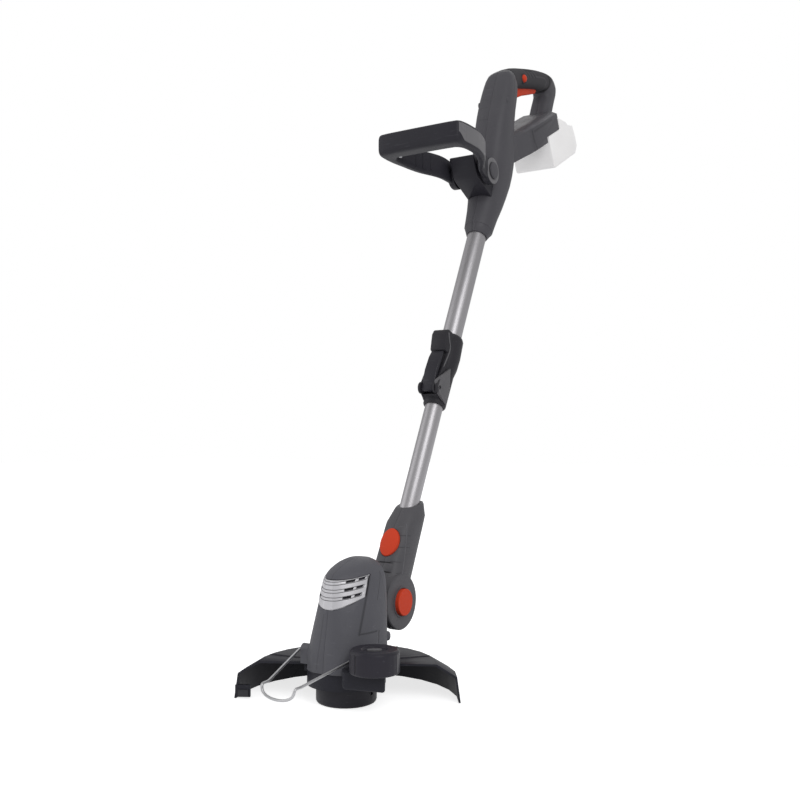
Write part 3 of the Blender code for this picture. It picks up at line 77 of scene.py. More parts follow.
WELD_GAP = 1e-6       # points closer together than this are one
CORNER_SHARE = 0.45   # the most of a side that a rounded corner takes
RING_EDGE = 0.3       # a ring's edge radius as a share of its smaller side
AXIS = 0.0001         # radius at which a turned profile meets its axis, and of a bar's thinnest end
FACE_CENTRE = 0.02    # innermost ring of a face, as a share of its outline
SHAFT_LEAN = 26.5     # degrees between the shaft and the vertical
OFF_PATHS: Point = (0.0, 0.31, 0.95)  # a direction along which no path starts


# frames and small numeric tools
@dataclass(frozen=True)
class Frame:
    """A right-handed frame of one sub-assembly."""

    origin: Point
    x: Point
    y: Point
    z: Point

    def world(self, points: Grid) -> Grid:
        """Points of this frame, last axis three long, in world coordinates."""
        axes = np.array([self.x, self.y, self.z], float)
        return np.asarray(points, float) @ axes + np.array(self.origin, float)

    def point(self, x: float, y: float, z: float) -> Point:
        """One point of this frame in world coordinates."""
        return tuple(float(value) for value in self.world(np.array([x, y, z])))


def tilted(origin: Point, degrees: float) -> Frame:
    """A frame turned about X, so that its y axis rises towards z by the given angle."""
    turn = math.radians(degrees)
    return Frame(origin, (1.0, 0.0, 0.0), (0.0, math.cos(turn), math.sin(turn)),
                 (0.0, -math.sin(turn), math.cos(turn)))


def placed(origin: Point) -> Frame:
    """A frame with the world's axes at another origin."""
    return Frame(origin, WORLD.x, WORLD.y, WORLD.z)


RIGHT: Point = (1.0, 0.0, 0.0)
FRONT: Point = (0.0, -1.0, 0.0)
UP: Point = (0.0, 0.0, 1.0)
DOWN: Point = (0.0, 0.0, -1.0)
NOWHERE: Point = (0.0, 0.0, 0.0)
OUTWARD: Point = (0.8, -0.6, 0.0)
WORLD = Frame((0.0, 0.0, 0.0), (1.0, 0.0, 0.0), (0.0, 1.0, 0.0), (0.0, 0.0, 1.0))
SHAFT = tilted((0.0, 0.032, 0.0), -SHAFT_LEAN)
FOOT = tilted((0.0, 0.0, 0.0), 28.0)
GRIP = tilted((0.0, 0.5060, 0.8995), 17.0)
PIVOT = placed(SHAFT.point(0.0, 0.0041, 0.1188))
HUB = placed(SHAFT.point(0.0, -0.0519, 0.7561))
LEVER = tilted(SHAFT.point(0.0, -0.0240, 0.4085), -SHAFT_LEAN)


def catmull(values: Grid, places: Grid) -> Grid:
    """Catmull-Rom curve through rows of values.

    Formula: between rows q and u, with neighbours p and v and blend t, half of
    2q + (u - p)t + (2p - 5q + 4u - v)t^2 + (3q - p - 3u + v)t^3.

    Args:
        values: rows of numbers, one row for each station.
        places: real-numbered places between 0 and the last row.

    Returns:
        One row for each place.
    """
    values = np.asarray(values, float)
    last = len(values) - 1
    index = np.clip(places.astype(int), 0, last - 1)
    t = (places - index)[:, None]
    p, q, u, v = (values[np.clip(index + step, 0, last)] for step in (-1, 0, 1, 2))
    return 0.5 * (2 * q + (u - p) * t + (2 * p - 5 * q + 4 * u - v) * t ** 2
                  + (3 * q - p - 3 * u + v) * t ** 3)


def smooth(low: float, high: float, value: Grid) -> Grid:
    """Smooth step from 0 at low to 1 at high: 3t^2 - 2t^3 of the clipped fraction t."""
    t = np.clip((np.asarray(value, float) - low) / (high - low), 0.0, 1.0)
    return t * t * (3.0 - 2.0 * t)


def bump(value: Grid, middle: float, width: float) -> Grid:
    """Bell of height one at the middle: exp of minus the square of the distance over the width."""
    return np.exp(-((np.asarray(value, float) - middle) / width) ** 2)


def tapered(share: Grid, radius: float, power: int) -> Grid:
    """Radii of a bar that thins out towards both ends, where share is -1 and 1.

    Formula: radius times the square root of 1 - |share|^power, plus the thinnest radius.
    """
    return radius * np.sqrt(np.clip(1.0 - np.abs(share) ** power, 0.0, 1.0)) + AXIS


def signed_power(value: Grid, power: float) -> Grid:
    """The sign of a value times its size raised to a power."""
    return np.sign(value) * np.abs(value) ** power


def rounded_profile(points: Grid, radius: float, steps: int = 5) -> Grid:
    """A polyline whose inner corners are rounded by quadratic arcs.

    Formula: at a corner c the arc from a to b is a(1 - t)^2 + 2c t(1 - t) + b t^2, where a and b lie a
    radius, or CORNER_SHARE of the shorter side, away from c.

    Args:
        points: corner points, two or three numbers each.
        radius: distance from each corner at which its arc starts.
        steps: points on each arc.

    Returns:
        The rounded polyline with its two ends kept.
    """
    points = np.asarray(points, float)
    before, corner, after = points[:-2], points[1:-1], points[2:]
    back, ahead = before - corner, after - corner
    reach_back = np.linalg.norm(back, axis=1, keepdims=True)
    reach_ahead = np.linalg.norm(ahead, axis=1, keepdims=True)
    reach = np.minimum(radius, CORNER_SHARE * np.minimum(reach_back, reach_ahead))
    start = corner + back / reach_back * reach
    end = corner + ahead / reach_ahead * reach
    t = np.linspace(0.0, 1.0, steps)[None, :, None]
    arcs = start[:, None] * (1 - t) ** 2 + corner[:, None] * 2 * t * (1 - t) + end[:, None] * t ** 2
    return np.concatenate([points[:1], arcs.reshape(-1, points.shape[1]), points[-1:]])


def closed_rounded(points: Grid, radius: float, steps: int = 5) -> Grid:
    """A closed outline with every corner rounded as in rounded_profile, first point not repeated."""
    points = np.asarray(points, float)
    loop = np.concatenate([points[-1:], points, points[:1]])
    return rounded_profile(loop, radius, steps)[1:-1]


# meshes
def surface(name: str, grid: Grid, around: bool = False, ends: bool = False, along: bool = False,
            holes: Grid | None = None, steep: float = 40.0,
            toward: Point | None = None) -> bpy.types.Object:
    """Make an object from a grid of points, with normals that point out.

    Formula: vertex (i, j) is grid[i, j]; each cell of the grid is one face; with ends, the first and the
    last row are closed by a fan to their mean point.

    Args:
        name: the piece's name.
        grid: array of rows, columns and three coordinates, in world coordinates.
        around: whether the last column joins the first.
        ends: whether the first and last rows are closed.
        along: whether the last row joins the first.
        holes: mask of cells that are left out.
        steep: angle in degrees above which an edge is sharp.
        toward: for an open sheet, the direction that its faces look along.

    Returns:
        The new object, linked to the scene and smooth between its sharp edges.
    """
    rows, columns = grid.shape[:2]
    points = grid.reshape(-1, 3)
    index = np.arange(rows * columns).reshape(rows, columns)
    if along:
        index = np.concatenate([index, index[:1]])
    if around:
        index = np.concatenate([index, index[:, :1]], axis=1)
    cells = np.stack([index[:-1, :-1], index[:-1, 1:], index[1:, 1:], index[1:, :-1]], axis=-1)
    faces = cells.reshape(-1, 4) if holes is None else cells[~holes]
    polygons = faces.tolist()
    if ends:
        for row in (0, rows - 1):
            hub = len(points)
            points = np.concatenate([points, grid[row].mean(axis=0)[None]])
            ring = index[row]
            fan = np.stack([ring[:-1], ring[1:], np.full(len(ring) - 1, hub)], axis=-1)
            polygons += fan.tolist()
    mesh = bpy.data.meshes.new(name)
    mesh.from_pydata(points.tolist(), [], polygons)
    bm = bmesh.new()
    bm.from_mesh(mesh)
    bmesh.ops.remove_doubles(bm, verts=bm.verts, dist=WELD_GAP)
    bmesh.ops.recalc_face_normals(bm, faces=bm.faces)
    if toward is not None:
        facing = np.sum([face.normal for face in bm.faces], axis=0)
        if float(facing.dot(np.array(toward))) < 0.0:
            bmesh.ops.reverse_faces(bm, faces=bm.faces)
    bm.to_mesh(mesh)
    bm.free()
    mesh.shade_smooth()
    mesh.set_sharp_from_angle(angle=math.radians(steep))
    obj = bpy.data.objects.new(name, mesh)
    bpy.context.scene.collection.objects.link(obj)
    return obj


def thicken(sheet: bpy.types.Object, thickness: float) -> None:
    """Give an open sheet a wall of some thickness behind its faces."""
    wall = sheet.modifiers.new("wall", "SOLIDIFY")
    wall.thickness = thickness
    wall.offset = -1.0


def turned(name: str, frame: Frame, profile: Grid, middle: Pair = (0.0, 0.0),
           count: int = 96, flute: Grid | None = None, along: bool = False) -> bpy.types.Object:
    """Turn a profile about a frame's z axis.

    Formula: the point of profile row (r, h) at angle a is (r cos a, r sin a, h) plus the middle; flute
    adds to r at each profile row and angle.

    Args:
        name: the piece's name.
        frame: the frame whose z is the axis.
        profile: rows of radius and height.
        middle: x and y of the axis in the frame.
        count: points round the axis.
        flute: what is added to each radius, an array of rows by count.
        along: whether the profile is a closed loop.

    Returns:
        The new object.
    """
    turn = np.linspace(0.0, math.tau, count, endpoint=False)
    radius = profile[:, 0][:, None] + (0.0 if flute is None else flute)
    grid = np.stack([middle[0] + radius * np.cos(turn), middle[1] + radius * np.sin(turn),
                     np.broadcast_to(profile[:, 1][:, None], (len(profile), count))], axis=-1)
    return surface(name, frame.world(grid), around=True, ends=not along, along=along)


def swept(name: str, path: Grid, radius: Grid | float, count: int = 12) -> bpy.types.Object:
    """A round bar along a path, closed at both ends.

    Formula: each ring is path + radius (cos a n + sin a b), with n and b carried along the path by the
    smallest turn from one tangent to the next.

    Args:
        name: the piece's name.
        path: points of the middle line.
        radius: one radius, or one for each point.
        count: points round the bar.

    Returns:
        The new object.
    """
    path = np.asarray(path, float)
    tangent = np.gradient(path, axis=0)
    tangent /= np.linalg.norm(tangent, axis=1, keepdims=True)
    side = np.cross(tangent[0], OFF_PATHS)
    normals = []
    for direction in tangent:
        side = side - direction * side.dot(direction)
        side = side / np.linalg.norm(side)
        normals.append(side)
    normal = np.array(normals)
    other = np.cross(tangent, normal)
    turn = np.linspace(0.0, math.tau, count, endpoint=False)
    size = np.broadcast_to(np.asarray(radius, float), (len(path),))[:, None, None]
    grid = path[:, None] + size * (np.cos(turn)[None, :, None] * normal[:, None]
                                   + np.sin(turn)[None, :, None] * other[:, None])
    return surface(name, grid, around=True, ends=True)


def pillow(name: str, frame: Frame, outline: Grid, base: float, height: float, edge: float,
           crown: float = 0.0, axis: str = "x") -> bpy.types.Object:
    """A button or plate with a rolled edge and a crowned face, standing on a flat outline.

    Formula: rings of the outline, shrunk towards its middle by edge (1 - cos a) and raised by edge sin a
    for a from 0 to 90 degrees, then rings shrunk to nothing on a face raised by crown (1 - k^2).

    Args:
        name: the piece's name.
        frame: the frame of the outline.
        outline: rows of the two coordinates across the axis.
        base: height of the foot along the axis.
        height: height of the rim above the foot, negative to go the other way.
        edge: radius of the rolled edge.
        crown: how far the middle stands above the rim.
        axis: the frame's axis on which the piece stands.

    Returns:
        The new object.
    """
    sign = 1.0 if height >= 0 else -1.0
    middle = outline.mean(axis=0)
    reach = np.linalg.norm(outline - middle, axis=1).mean()
    roll = np.linspace(0.0, math.pi / 2, 6)
    inner = np.linspace(1.0, FACE_CENTRE, 9)[1:]
    shrink = np.concatenate([[1.0], 1.0 - edge * (1.0 - np.cos(roll)) / reach,
                             (1.0 - edge / reach) * inner])
    rim = abs(height) - edge
    level = np.concatenate([[0.0], rim + edge * np.sin(roll),
                            abs(height) + crown * (1.0 - inner ** 2)])
    flat = middle + (outline - middle)[None] * shrink[:, None, None]
    up = np.broadcast_to((base + sign * level)[:, None], flat.shape[:2])
    a, b = flat[..., 0], flat[..., 1]
    order = {"x": (up, a, b), "y": (a, up, b), "z": (a, b, up)}[axis]
    return surface(name, frame.world(np.stack(order, axis=-1)), around=True, ends=True)


def disc_outline(radius: float, middle: Pair = (0.0, 0.0), count: int = 64,
                 stretch: float = 1.0) -> Grid:
    """Points of a circle or of an oval that is longer along its second coordinate."""
    turn = np.linspace(0.0, math.tau, count, endpoint=False)
    return np.stack([middle[0] + radius * np.cos(turn),
                     middle[1] + radius * stretch * np.sin(turn)], axis=-1)


def ring_piece(name: str, frame: Frame, outer: float, inner: float, base: float, height: float,
               middle: Pair = (0.0, 0.0), count: int = 72) -> bpy.types.Object:
    """A flat ring with softened edges that stands on the frame's z axis.

    Formula: the closed rounded rectangle from inner to outer and from base to base + height, turned.

    Args:
        name: the piece's name.
        frame: the frame whose z is the axis.
        outer: outer radius.
        inner: inner radius.
        base: height of the foot.
        height: thickness.
        middle: x and y of the axis.
        count: points round the axis.

    Returns:
        The new object.
    """
    corners = np.array([(inner, base), (outer, base), (outer, base + height), (inner, base + height)])
    profile = closed_rounded(corners, RING_EDGE * min(abs(height), outer - inner), 4)
    return turned(name, frame, profile, middle, count, along=True)


def side_frame(frame: Frame, sign: float = 1.0) -> Frame:
    """A frame whose z looks along the given frame's x, for pieces turned about a cross axis."""
    if sign > 0:
        return Frame(frame.origin, frame.y, frame.z, frame.x)
    return Frame(frame.origin, frame.z, frame.y, tuple(-value for value in frame.x))


# shader groups
class Group:
    """A shader node group that is built once and placed in every material that asks for it."""

    def __init__(self, name: str, inputs: dict[str, object], outputs: dict[str, str]) -> None:
        """Make the empty group.

        Args:
            name: the group's name.
            inputs: names of the inputs with their default values.
            outputs: names of the outputs with their socket types.
        """
        self.tree = bpy.data.node_groups.new(name, "ShaderNodeTree")
        for label, value in inputs.items():
            kind = "NodeSocketVector" if isinstance(value, tuple) else "NodeSocketFloat"
            socket = self.tree.interface.new_socket(label, in_out="INPUT", socket_type=kind)
            socket.default_value = value
        for label, kind in outputs.items():
            self.tree.interface.new_socket(label, in_out="OUTPUT", socket_type=kind)
        self.source = self.tree.nodes.new("NodeGroupInput")
        self.sink = self.tree.nodes.new("NodeGroupOutput")

    def give(self, label: str, socket: bpy.types.NodeSocket) -> None:
        """Link a socket to one of the group's outputs."""
        self.tree.links.new(socket, self.sink.inputs[label])


class Wiring:
    """Shorthand for placing and linking nodes in one tree."""

    def __init__(self, tree: bpy.types.NodeTree) -> None:
        """Keep the tree."""
        self.tree = tree

    def node(self, kind: str, links: dict[str | int, object] | None = None,
             **settings: object) -> bpy.types.Node:
        """Place a node, set its properties and fill its inputs.

        Args:
            kind: the node's type name.
            links: input name or number with a socket to link or a value to set.
            settings: properties of the node.

        Returns:
            The node.
        """
        node = self.tree.nodes.new(kind)
        for label, value in settings.items():
            setattr(node, label, value)
        for label, value in (links or {}).items():
            if isinstance(value, bpy.types.NodeSocket):
                self.tree.links.new(value, node.inputs[label])
            else:
                node.inputs[label].default_value = value
        return node

    def here(self) -> bpy.types.NodeSocket:
        """The place of the shaded point in the object's coordinates."""
        return self.node("ShaderNodeTexCoord").outputs["Object"]

    def math(self, operation: str, *values: object) -> bpy.types.NodeSocket:
        """A Math node's result for two or three values or sockets."""
        return self.node("ShaderNodeMath", dict(enumerate(values)), operation=operation).outputs[0]

    def vector(self, operation: str, *values: object) -> bpy.types.Node:
        """A Vector Math node for its values or sockets."""
        return self.node("ShaderNodeVectorMath", dict(enumerate(values)), operation=operation)

    def scaled(self, vector: bpy.types.NodeSocket, scale: bpy.types.NodeSocket) -> bpy.types.NodeSocket:
        """A vector times a number."""
        return self.node("ShaderNodeVectorMath", {0: vector, "Scale": scale}, operation="SCALE").outputs[0]

    def ramp(self, value: bpy.types.NodeSocket, low: object, high: float) -> bpy.types.NodeSocket:
        """A value brought to 0 at low and 1 at high, and held there."""
        links = {"Value": value, "From Min": low, "From Max": high}
        return self.node("ShaderNodeMapRange", links).outputs[0]

    def mix(self, factor: object, first: object, second: object) -> bpy.types.NodeSocket:
        """Two colours mixed by a factor."""
        links = {"Factor": factor, "A": first, "B": second}
        return self.node("ShaderNodeMix", links, data_type="RGBA").outputs["Result"]

    def place(self, group: Group, links: dict[str, object]) -> bpy.types.Node:
        """Place a node group with its own input values."""
        return self.node("ShaderNodeGroup", links, node_tree=group.tree)

    def dress(self, shader: bpy.types.Node, colour: bpy.types.NodeSocket, rough: bpy.types.NodeSocket,
              height: bpy.types.NodeSocket) -> None:
        """Feed a Principled shader.

        Args:
            shader: the Principled shader.
            colour: its base colour.
            rough: its roughness.
            height: relief in metres, which reaches the normal through a Bump node.
        """
        relief = self.node("ShaderNodeBump", {"Height": height, "Strength": 1.0, "Distance": 1.0})
        for label, socket in (("Base Color", colour), ("Roughness", rough),
                              ("Normal", relief.outputs["Normal"])):
            self.tree.links.new(socket, shader.inputs[label])


def make_grain_group() -> Group:
    """Spark-eroded moulding grain: a fine height and a broad mottle, both near 0.5."""
    group = Group("moulding_grain", {"Scale": 900.0},
                  {"Height": "NodeSocketFloat", "Mottle": "NodeSocketFloat"})
    wire = Wiring(group.tree)
    place, scale = wire.here(), group.source.outputs["Scale"]
    pit_share = 0.6
    fine = wire.node("ShaderNodeTexNoise", {"Vector": place, "Scale": scale, "Detail": 2.0,
                                            "Roughness": 0.55})
    pits = wire.node("ShaderNodeTexVoronoi", {"Vector": place, "Scale": scale}, feature="SMOOTH_F1")
    height = wire.math("MULTIPLY_ADD", pits.outputs["Distance"], pit_share, fine.outputs["Fac"])
    broad = wire.node("ShaderNodeTexNoise", {"Vector": place, "Scale": 22.0, "Detail": 4.0})
    group.give("Height", height)
    group.give("Mottle", broad.outputs["Fac"])
    return group


def make_dust_group() -> Group:
    """Dust that settles on faces that look up, broken by noise, and sparse rubbed scuffs."""
    group = Group("dust_and_scuffs", {"Dust": 0.3, "Scuffs": 0.3},
                  {"Dust": "NodeSocketFloat", "Scuffs": "NodeSocketFloat"})
    wire = Wiring(group.tree)
    place = wire.here()
    normal = wire.node("ShaderNodeNewGeometry").outputs["Normal"]
    up = wire.node("ShaderNodeSeparateXYZ", {0: normal}).outputs["Z"]
    cloud = wire.node("ShaderNodeTexNoise", {"Vector": place, "Scale": 60.0, "Detail": 6.0,
                                             "Roughness": 0.7})
    settled = wire.math("MULTIPLY", wire.ramp(up, 0.25, 1.0), wire.ramp(cloud.outputs["Fac"], 0.42, 0.75))
    group.give("Dust", wire.math("MULTIPLY", settled, group.source.outputs["Dust"]))
    stretched = wire.node("ShaderNodeMapping", {"Vector": place, "Scale": (40.0, 160.0, 420.0),
                                                "Rotation": (0.5, 0.3, 0.2)})
    lines = wire.node("ShaderNodeTexNoise", {"Vector": stretched.outputs[0], "Scale": 1.0, "Detail": 2.0})
    rubbed = wire.ramp(lines.outputs["Fac"], 0.66, 0.72)
    group.give("Scuffs", wire.math("MULTIPLY", rubbed, group.source.outputs["Scuffs"]))
    return group


def make_segment_group() -> Group:
    """Mask of a thin straight line between two points, looked at along a direction.

    Formula: 1 on the line, falling to 0 at its width; the part of the gap that runs along Along is left
    out, and a place whose share of Along is below Limit stays at 0.
    """
    group = Group("line_between_points", {"From": NOWHERE, "To": UP, "Width": 0.0006, "Along": NOWHERE,
                                          "Limit": -1.0}, {"Mask": "NodeSocketFloat"})
    wire = Wiring(group.tree)
    place = wire.here()
    start, end, width, along, limit = (group.source.outputs[label]
                                       for label in ("From", "To", "Width", "Along", "Limit"))

    def dot(first: bpy.types.NodeSocket, second: bpy.types.NodeSocket) -> bpy.types.NodeSocket:
        """The dot product of two vectors."""
        return wire.vector("DOT_PRODUCT", first, second).outputs["Value"]

    def flattened(vector: bpy.types.NodeSocket) -> bpy.types.NodeSocket:
        """A vector without its part along the direction."""
        return wire.vector("SUBTRACT", vector, wire.scaled(along, dot(vector, along))).outputs[0]

    run = flattened(wire.vector("SUBTRACT", end, start).outputs[0])
    away = flattened(wire.vector("SUBTRACT", place, start).outputs[0])
    share = wire.math("DIVIDE", dot(away, run), dot(run, run))
    held = wire.node("ShaderNodeClamp", {"Value": share}).outputs[0]
    gap = wire.vector("DISTANCE", away, wire.scaled(run, held)).outputs["Value"]
    side = wire.math("GREATER_THAN", dot(place, along), limit)
    group.give("Mask", wire.math("MULTIPLY", wire.ramp(gap, width, 0.0), side))
    return group


def make_drawn_group() -> Group:
    """Fine lengthwise lines of a drawn tube: noise squeezed across the shaft and stretched along it."""
    group = Group("drawn_lines", {"Fineness": 900.0},
                  {"Lines": "NodeSocketFloat", "Broad": "NodeSocketFloat"})
    wire = Wiring(group.tree)
    along_shaft = wire.node("ShaderNodeMapping", {"Vector": wire.here(),
                                                  "Rotation": (math.radians(SHAFT_LEAN), 0.0, 0.0)})
    squeezed = wire.vector("MULTIPLY", along_shaft.outputs[0], (1.0, 1.0, 0.006)).outputs[0]
    lines = wire.node("ShaderNodeTexNoise", {"Vector": squeezed, "Scale": group.source.outputs["Fineness"],
                                             "Detail": 3.0, "Roughness": 0.6})
    broad = wire.node("ShaderNodeTexNoise", {"Vector": squeezed, "Scale": 120.0, "Detail": 2.0})
    group.give("Lines", lines.outputs["Fac"])
    group.give("Broad", broad.outputs["Fac"])
    return group


class Groups:
    """The shared shader groups, made once."""

    def __init__(self) -> None:
        """Build every group."""
        self.grain = make_grain_group()
        self.dust = make_dust_group()
        self.segment = make_segment_group()
        self.drawn = make_drawn_group()


# finishes
DUST_TONE: Colour = (0.19, 0.175, 0.15, 1.0)
GROOVE_SHADE_TONE = 0.22      # painted highlight on a raised edge: its brightness as a share of the plastic's
EDGE_HIGHLIGHT_TONE = 1.9         # a pale raised edge's
GRAIN_HEIGHT = 0.00035  # relief in metres of a grain of one
MOTTLE_ROUGH = 0.16     # spread of a plastic's roughness
DUST_ROUGH = 0.5        # how much rougher full dust makes a plastic
METAL_DUST_ROUGH = 0.6  # and a metal
METAL_HEIGHT = 0.00002  # relief of a metal's pattern
GROOVE_HEIGHT = 0.0004  # relief of the groove attribute


def linear(colour: Point) -> Colour:
    """Turn an 8-bit display colour into scene values by the usual power law."""
    part = np.array(colour, float) / 255.0
    values = np.where(part <= 0.04045, part / 12.92, ((part + 0.055) / 1.055) ** 2.4)
    return (float(values[0]), float(values[1]), float(values[2]), 1.0)


def toned(base: Colour, factor: float, added: float = 0.0) -> Colour:
    """A colour with each part multiplied and raised, at most 1."""
    return tuple(min(1.0, value * factor + added) for value in base[:3]) + (1.0,)


def new_material(name: str) -> tuple[bpy.types.Material, Wiring, bpy.types.Node]:
    """A material with nodes, the wiring of its tree and its Principled shader."""
    material = bpy.data.materials.new(name)
    material.use_nodes = True
    return material, Wiring(material.node_tree), material.node_tree.nodes["Principled BSDF"]


@dataclass(frozen=True)
class Line:
    """A fine groove between two points, darkened by painted shade, or, when pale, a raised edge lightened by
    a painted highlight.
    """

    start: Point
    end: Point
    width: float = 0.0008
    along: Point = NOWHERE
    limit: float = -1.0
    pale: bool = False
    strength: float = 0.85


@dataclass(frozen=True)
class Moulded:
    """Injection-moulded plastic with grain, mottle, dust, scuffs, painted shade along grooves, painted
    highlights along pale raised edges and an optional painted glow.
    """

    name: str
    colour: Point
    roughness: float = 0.5
    grain: float = 0.10
    scale: float = 900.0
    dust: float = 0.25
    scuffs: float = 0.25
    coat: float = 0.0
    lines: tuple[Line, ...] = ()
    depth: float = 0.0006
    specular: float = 0.30
    # painted glow: light that a part gives off though it is no lamp
    glow: float = 0.0

    def build(self, groups: Groups) -> bpy.types.Material:
        """Make the material.

        Args:
            groups: the shared shader groups.

        Returns:
            The material.
        """
        material, wire, shader = new_material(self.name)
        base = linear(self.colour)
        grain = wire.place(groups.grain, {"Scale": self.scale})
        film = wire.place(groups.dust, {"Dust": self.dust, "Scuffs": self.scuffs})
        colour = wire.mix(grain.outputs["Mottle"], toned(base, 0.88), toned(base, 1.12, 0.002))
        colour = wire.mix(film.outputs["Scuffs"], colour, toned(base, 1.5, 0.035))
        colour = wire.mix(film.outputs["Dust"], colour, DUST_TONE)
        height = wire.math("MULTIPLY", grain.outputs["Height"], self.grain * GRAIN_HEIGHT)
        for pale in (False, True):
            mask = self.mask(wire, groups, pale)
            if mask is None:
                continue
            height = wire.math("MULTIPLY_ADD", mask, self.depth if pale else -self.depth, height)
            # grooves take painted shade and pale raised edges a painted highlight
            colour = wire.mix(mask, colour, toned(base, EDGE_HIGHLIGHT_TONE if pale else GROOVE_SHADE_TONE))
        matt = wire.math("MULTIPLY_ADD", grain.outputs["Mottle"], MOTTLE_ROUGH,
                         self.roughness - MOTTLE_ROUGH / 2.0)
        rough = wire.math("MULTIPLY_ADD", film.outputs["Dust"], DUST_ROUGH, matt)
        wire.dress(shader, colour, rough, height)
        shader.inputs["Specular IOR Level"].default_value = self.specular
        shader.inputs["Coat Weight"].default_value = self.coat
        shader.inputs["Coat Roughness"].default_value = 0.25
        # the painted glow, emitted in the plastic's own colour
        shader.inputs["Emission Color"].default_value = base
        shader.inputs["Emission Strength"].default_value = self.glow
        return material

    def mask(self, wire: Wiring, groups: Groups, pale: bool) -> bpy.types.NodeSocket | None:
        """The mask of all the grooves, which get painted shade, or of all the pale edges, which get a
        painted highlight.

        Args:
            wire: the material's wiring.
            groups: the shared shader groups.
            pale: which of the two kinds.

        Returns:
            The largest of the single masks, or nothing when there is no such line.
        """
        mask = None
        for line in self.lines:
            if line.pale != pale:
                continue
            one = wire.place(groups.segment, {"From": line.start, "To": line.end, "Width": line.width,
                                              "Along": line.along, "Limit": line.limit}).outputs["Mask"]
            one = wire.math("MULTIPLY", one, line.strength)
            mask = one if mask is None else wire.math("MAXIMUM", mask, one)
        return mask


@dataclass(frozen=True)
class Metal:
    """Metal with a fine surface pattern, drawn or mottled, and darkened by painted shade where the groove
    attribute is high.
    """

    name: str
    colour: Point
    roughness: float = 0.3
    metallic: float = 1.0
    drawn: bool = False
    spread: float = 0.10
    groove_shade: float = 0.0

    def build(self, groups: Groups) -> bpy.types.Material:
        """Make the material.

        Args:
            groups: the shared shader groups.

        Returns:
            The material.
        """
        material, wire, shader = new_material(self.name)
        base = linear(self.colour)
        if self.drawn:
            pattern = wire.place(groups.drawn, {"Fineness": 900.0})
            fine, broad = pattern.outputs["Lines"], pattern.outputs["Broad"]
        else:
            pattern = wire.place(groups.grain, {"Scale": 1500.0})
            fine, broad = pattern.outputs["Height"], pattern.outputs["Mottle"]
        film = wire.place(groups.dust, {"Dust": 0.12, "Scuffs": 0.5})
        light = toned(base, 1.10)
        colour = wire.mix(broad, toned(base, 0.84), light)
        colour = wire.mix(film.outputs["Scuffs"], colour, light)
        height = wire.math("MULTIPLY", fine, METAL_HEIGHT)
        if self.groove_shade:
            groove = wire.node("ShaderNodeAttribute", attribute_name="groove").outputs["Fac"]
            shade = wire.math("MULTIPLY", groove, self.groove_shade)
            # painted shade in the grille's grooves
            colour = wire.mix(shade, colour, toned(base, 0.12))
            height = wire.math("MULTIPLY_ADD", groove, -GROOVE_HEIGHT, height)
        rough = wire.math("MULTIPLY_ADD", fine, self.spread, self.roughness - self.spread / 2.0)
        dulled = wire.math("MULTIPLY_ADD", film.outputs["Dust"], METAL_DUST_ROUGH, rough)
        wire.dress(shader, colour, dulled, height)
        shader.inputs["Metallic"].default_value = self.metallic
        return material


def strokes(frame: Frame, width: float, along: Point, limit: float, *ends: tuple[Point, Point],
            pale: bool = False, strength: float = 0.85) -> tuple[Line, ...]:
    """Lines of one kind, each between two points of a frame.

    Args:
        frame: the frame of the points.
        width: width of each line.
        along: the direction along which the lines are projected.
        limit: how far along that direction a place has to lie to show them.
        ends: the two ends of each line.
        pale: whether they are raised edges lightened by a painted highlight.
        strength: how strongly they show.

    Returns:
        The lines in the order given.
    """
    return tuple(Line(frame.point(*a), frame.point(*b), width, along, limit, pale, strength)
                 for a, b in ends)


def stretches(*points: Point) -> tuple[tuple[Point, Point], ...]:
    """The two ends of each stretch of a row of points."""
    return tuple(zip(points[:-1], points[1:]))


def flipped(lines: tuple[Line, ...]) -> tuple[Line, ...]:
    """The same lines on the other side of the object's middle plane alone."""
    def flip(point: Point) -> Point:
        """A point or direction with its x turned round."""
        return (-point[0], point[1], point[2])
    return tuple(Line(flip(line.start), flip(line.end), line.width, flip(line.along), line.limit,
                      line.pale, line.strength) for line in lines)


def mirrored(lines: tuple[Line, ...]) -> tuple[Line, ...]:
    """The lines and their mirror images."""
    return lines + flipped(lines)


# Lines drawn in the materials: the dark ones are painted shade along grooves and creases, the pale ones
# painted highlights along raised edges.
REAR_LINES = (
    *strokes(SHAFT, 0.0007, FRONT, -0.42,
             ((-0.0182, -0.0512, 0.8881), (-0.0040, -0.0512, 0.8870)),
             ((-0.0160, -0.0500, 0.8666), (0.0000, -0.0500, 0.8640)),
             ((-0.0190, -0.0543, 0.9050), (-0.0050, -0.0543, 0.9000)),
             ((-0.0180, -0.0558, 0.9290), (-0.0080, -0.0558, 0.9240)), strength=0.45),
    *mirrored(
        strokes(FOOT, 0.0024, RIGHT, 0.018, ((0.0320, 0.7570, 0.4924), (0.0320, 0.8850, 0.4924)),
                pale=True, strength=0.35)
        + strokes(FOOT, 0.0030, RIGHT, 0.030,
                  ((0.0360, 0.7860, 0.4845), (0.0360, 0.8640, 0.4862)),
                  *stretches((0.0360, 0.7777, 0.4862), (0.0360, 0.7788, 0.4705), (0.0360, 0.7839, 0.4559)),
                  strength=0.45)
        + strokes(WORLD, 0.0009, RIGHT, 0.010,
                  *stretches((0.0231, 0.4227, 0.8843), (0.0231, 0.4198, 0.8676), (0.0257, 0.4140, 0.8432)))))
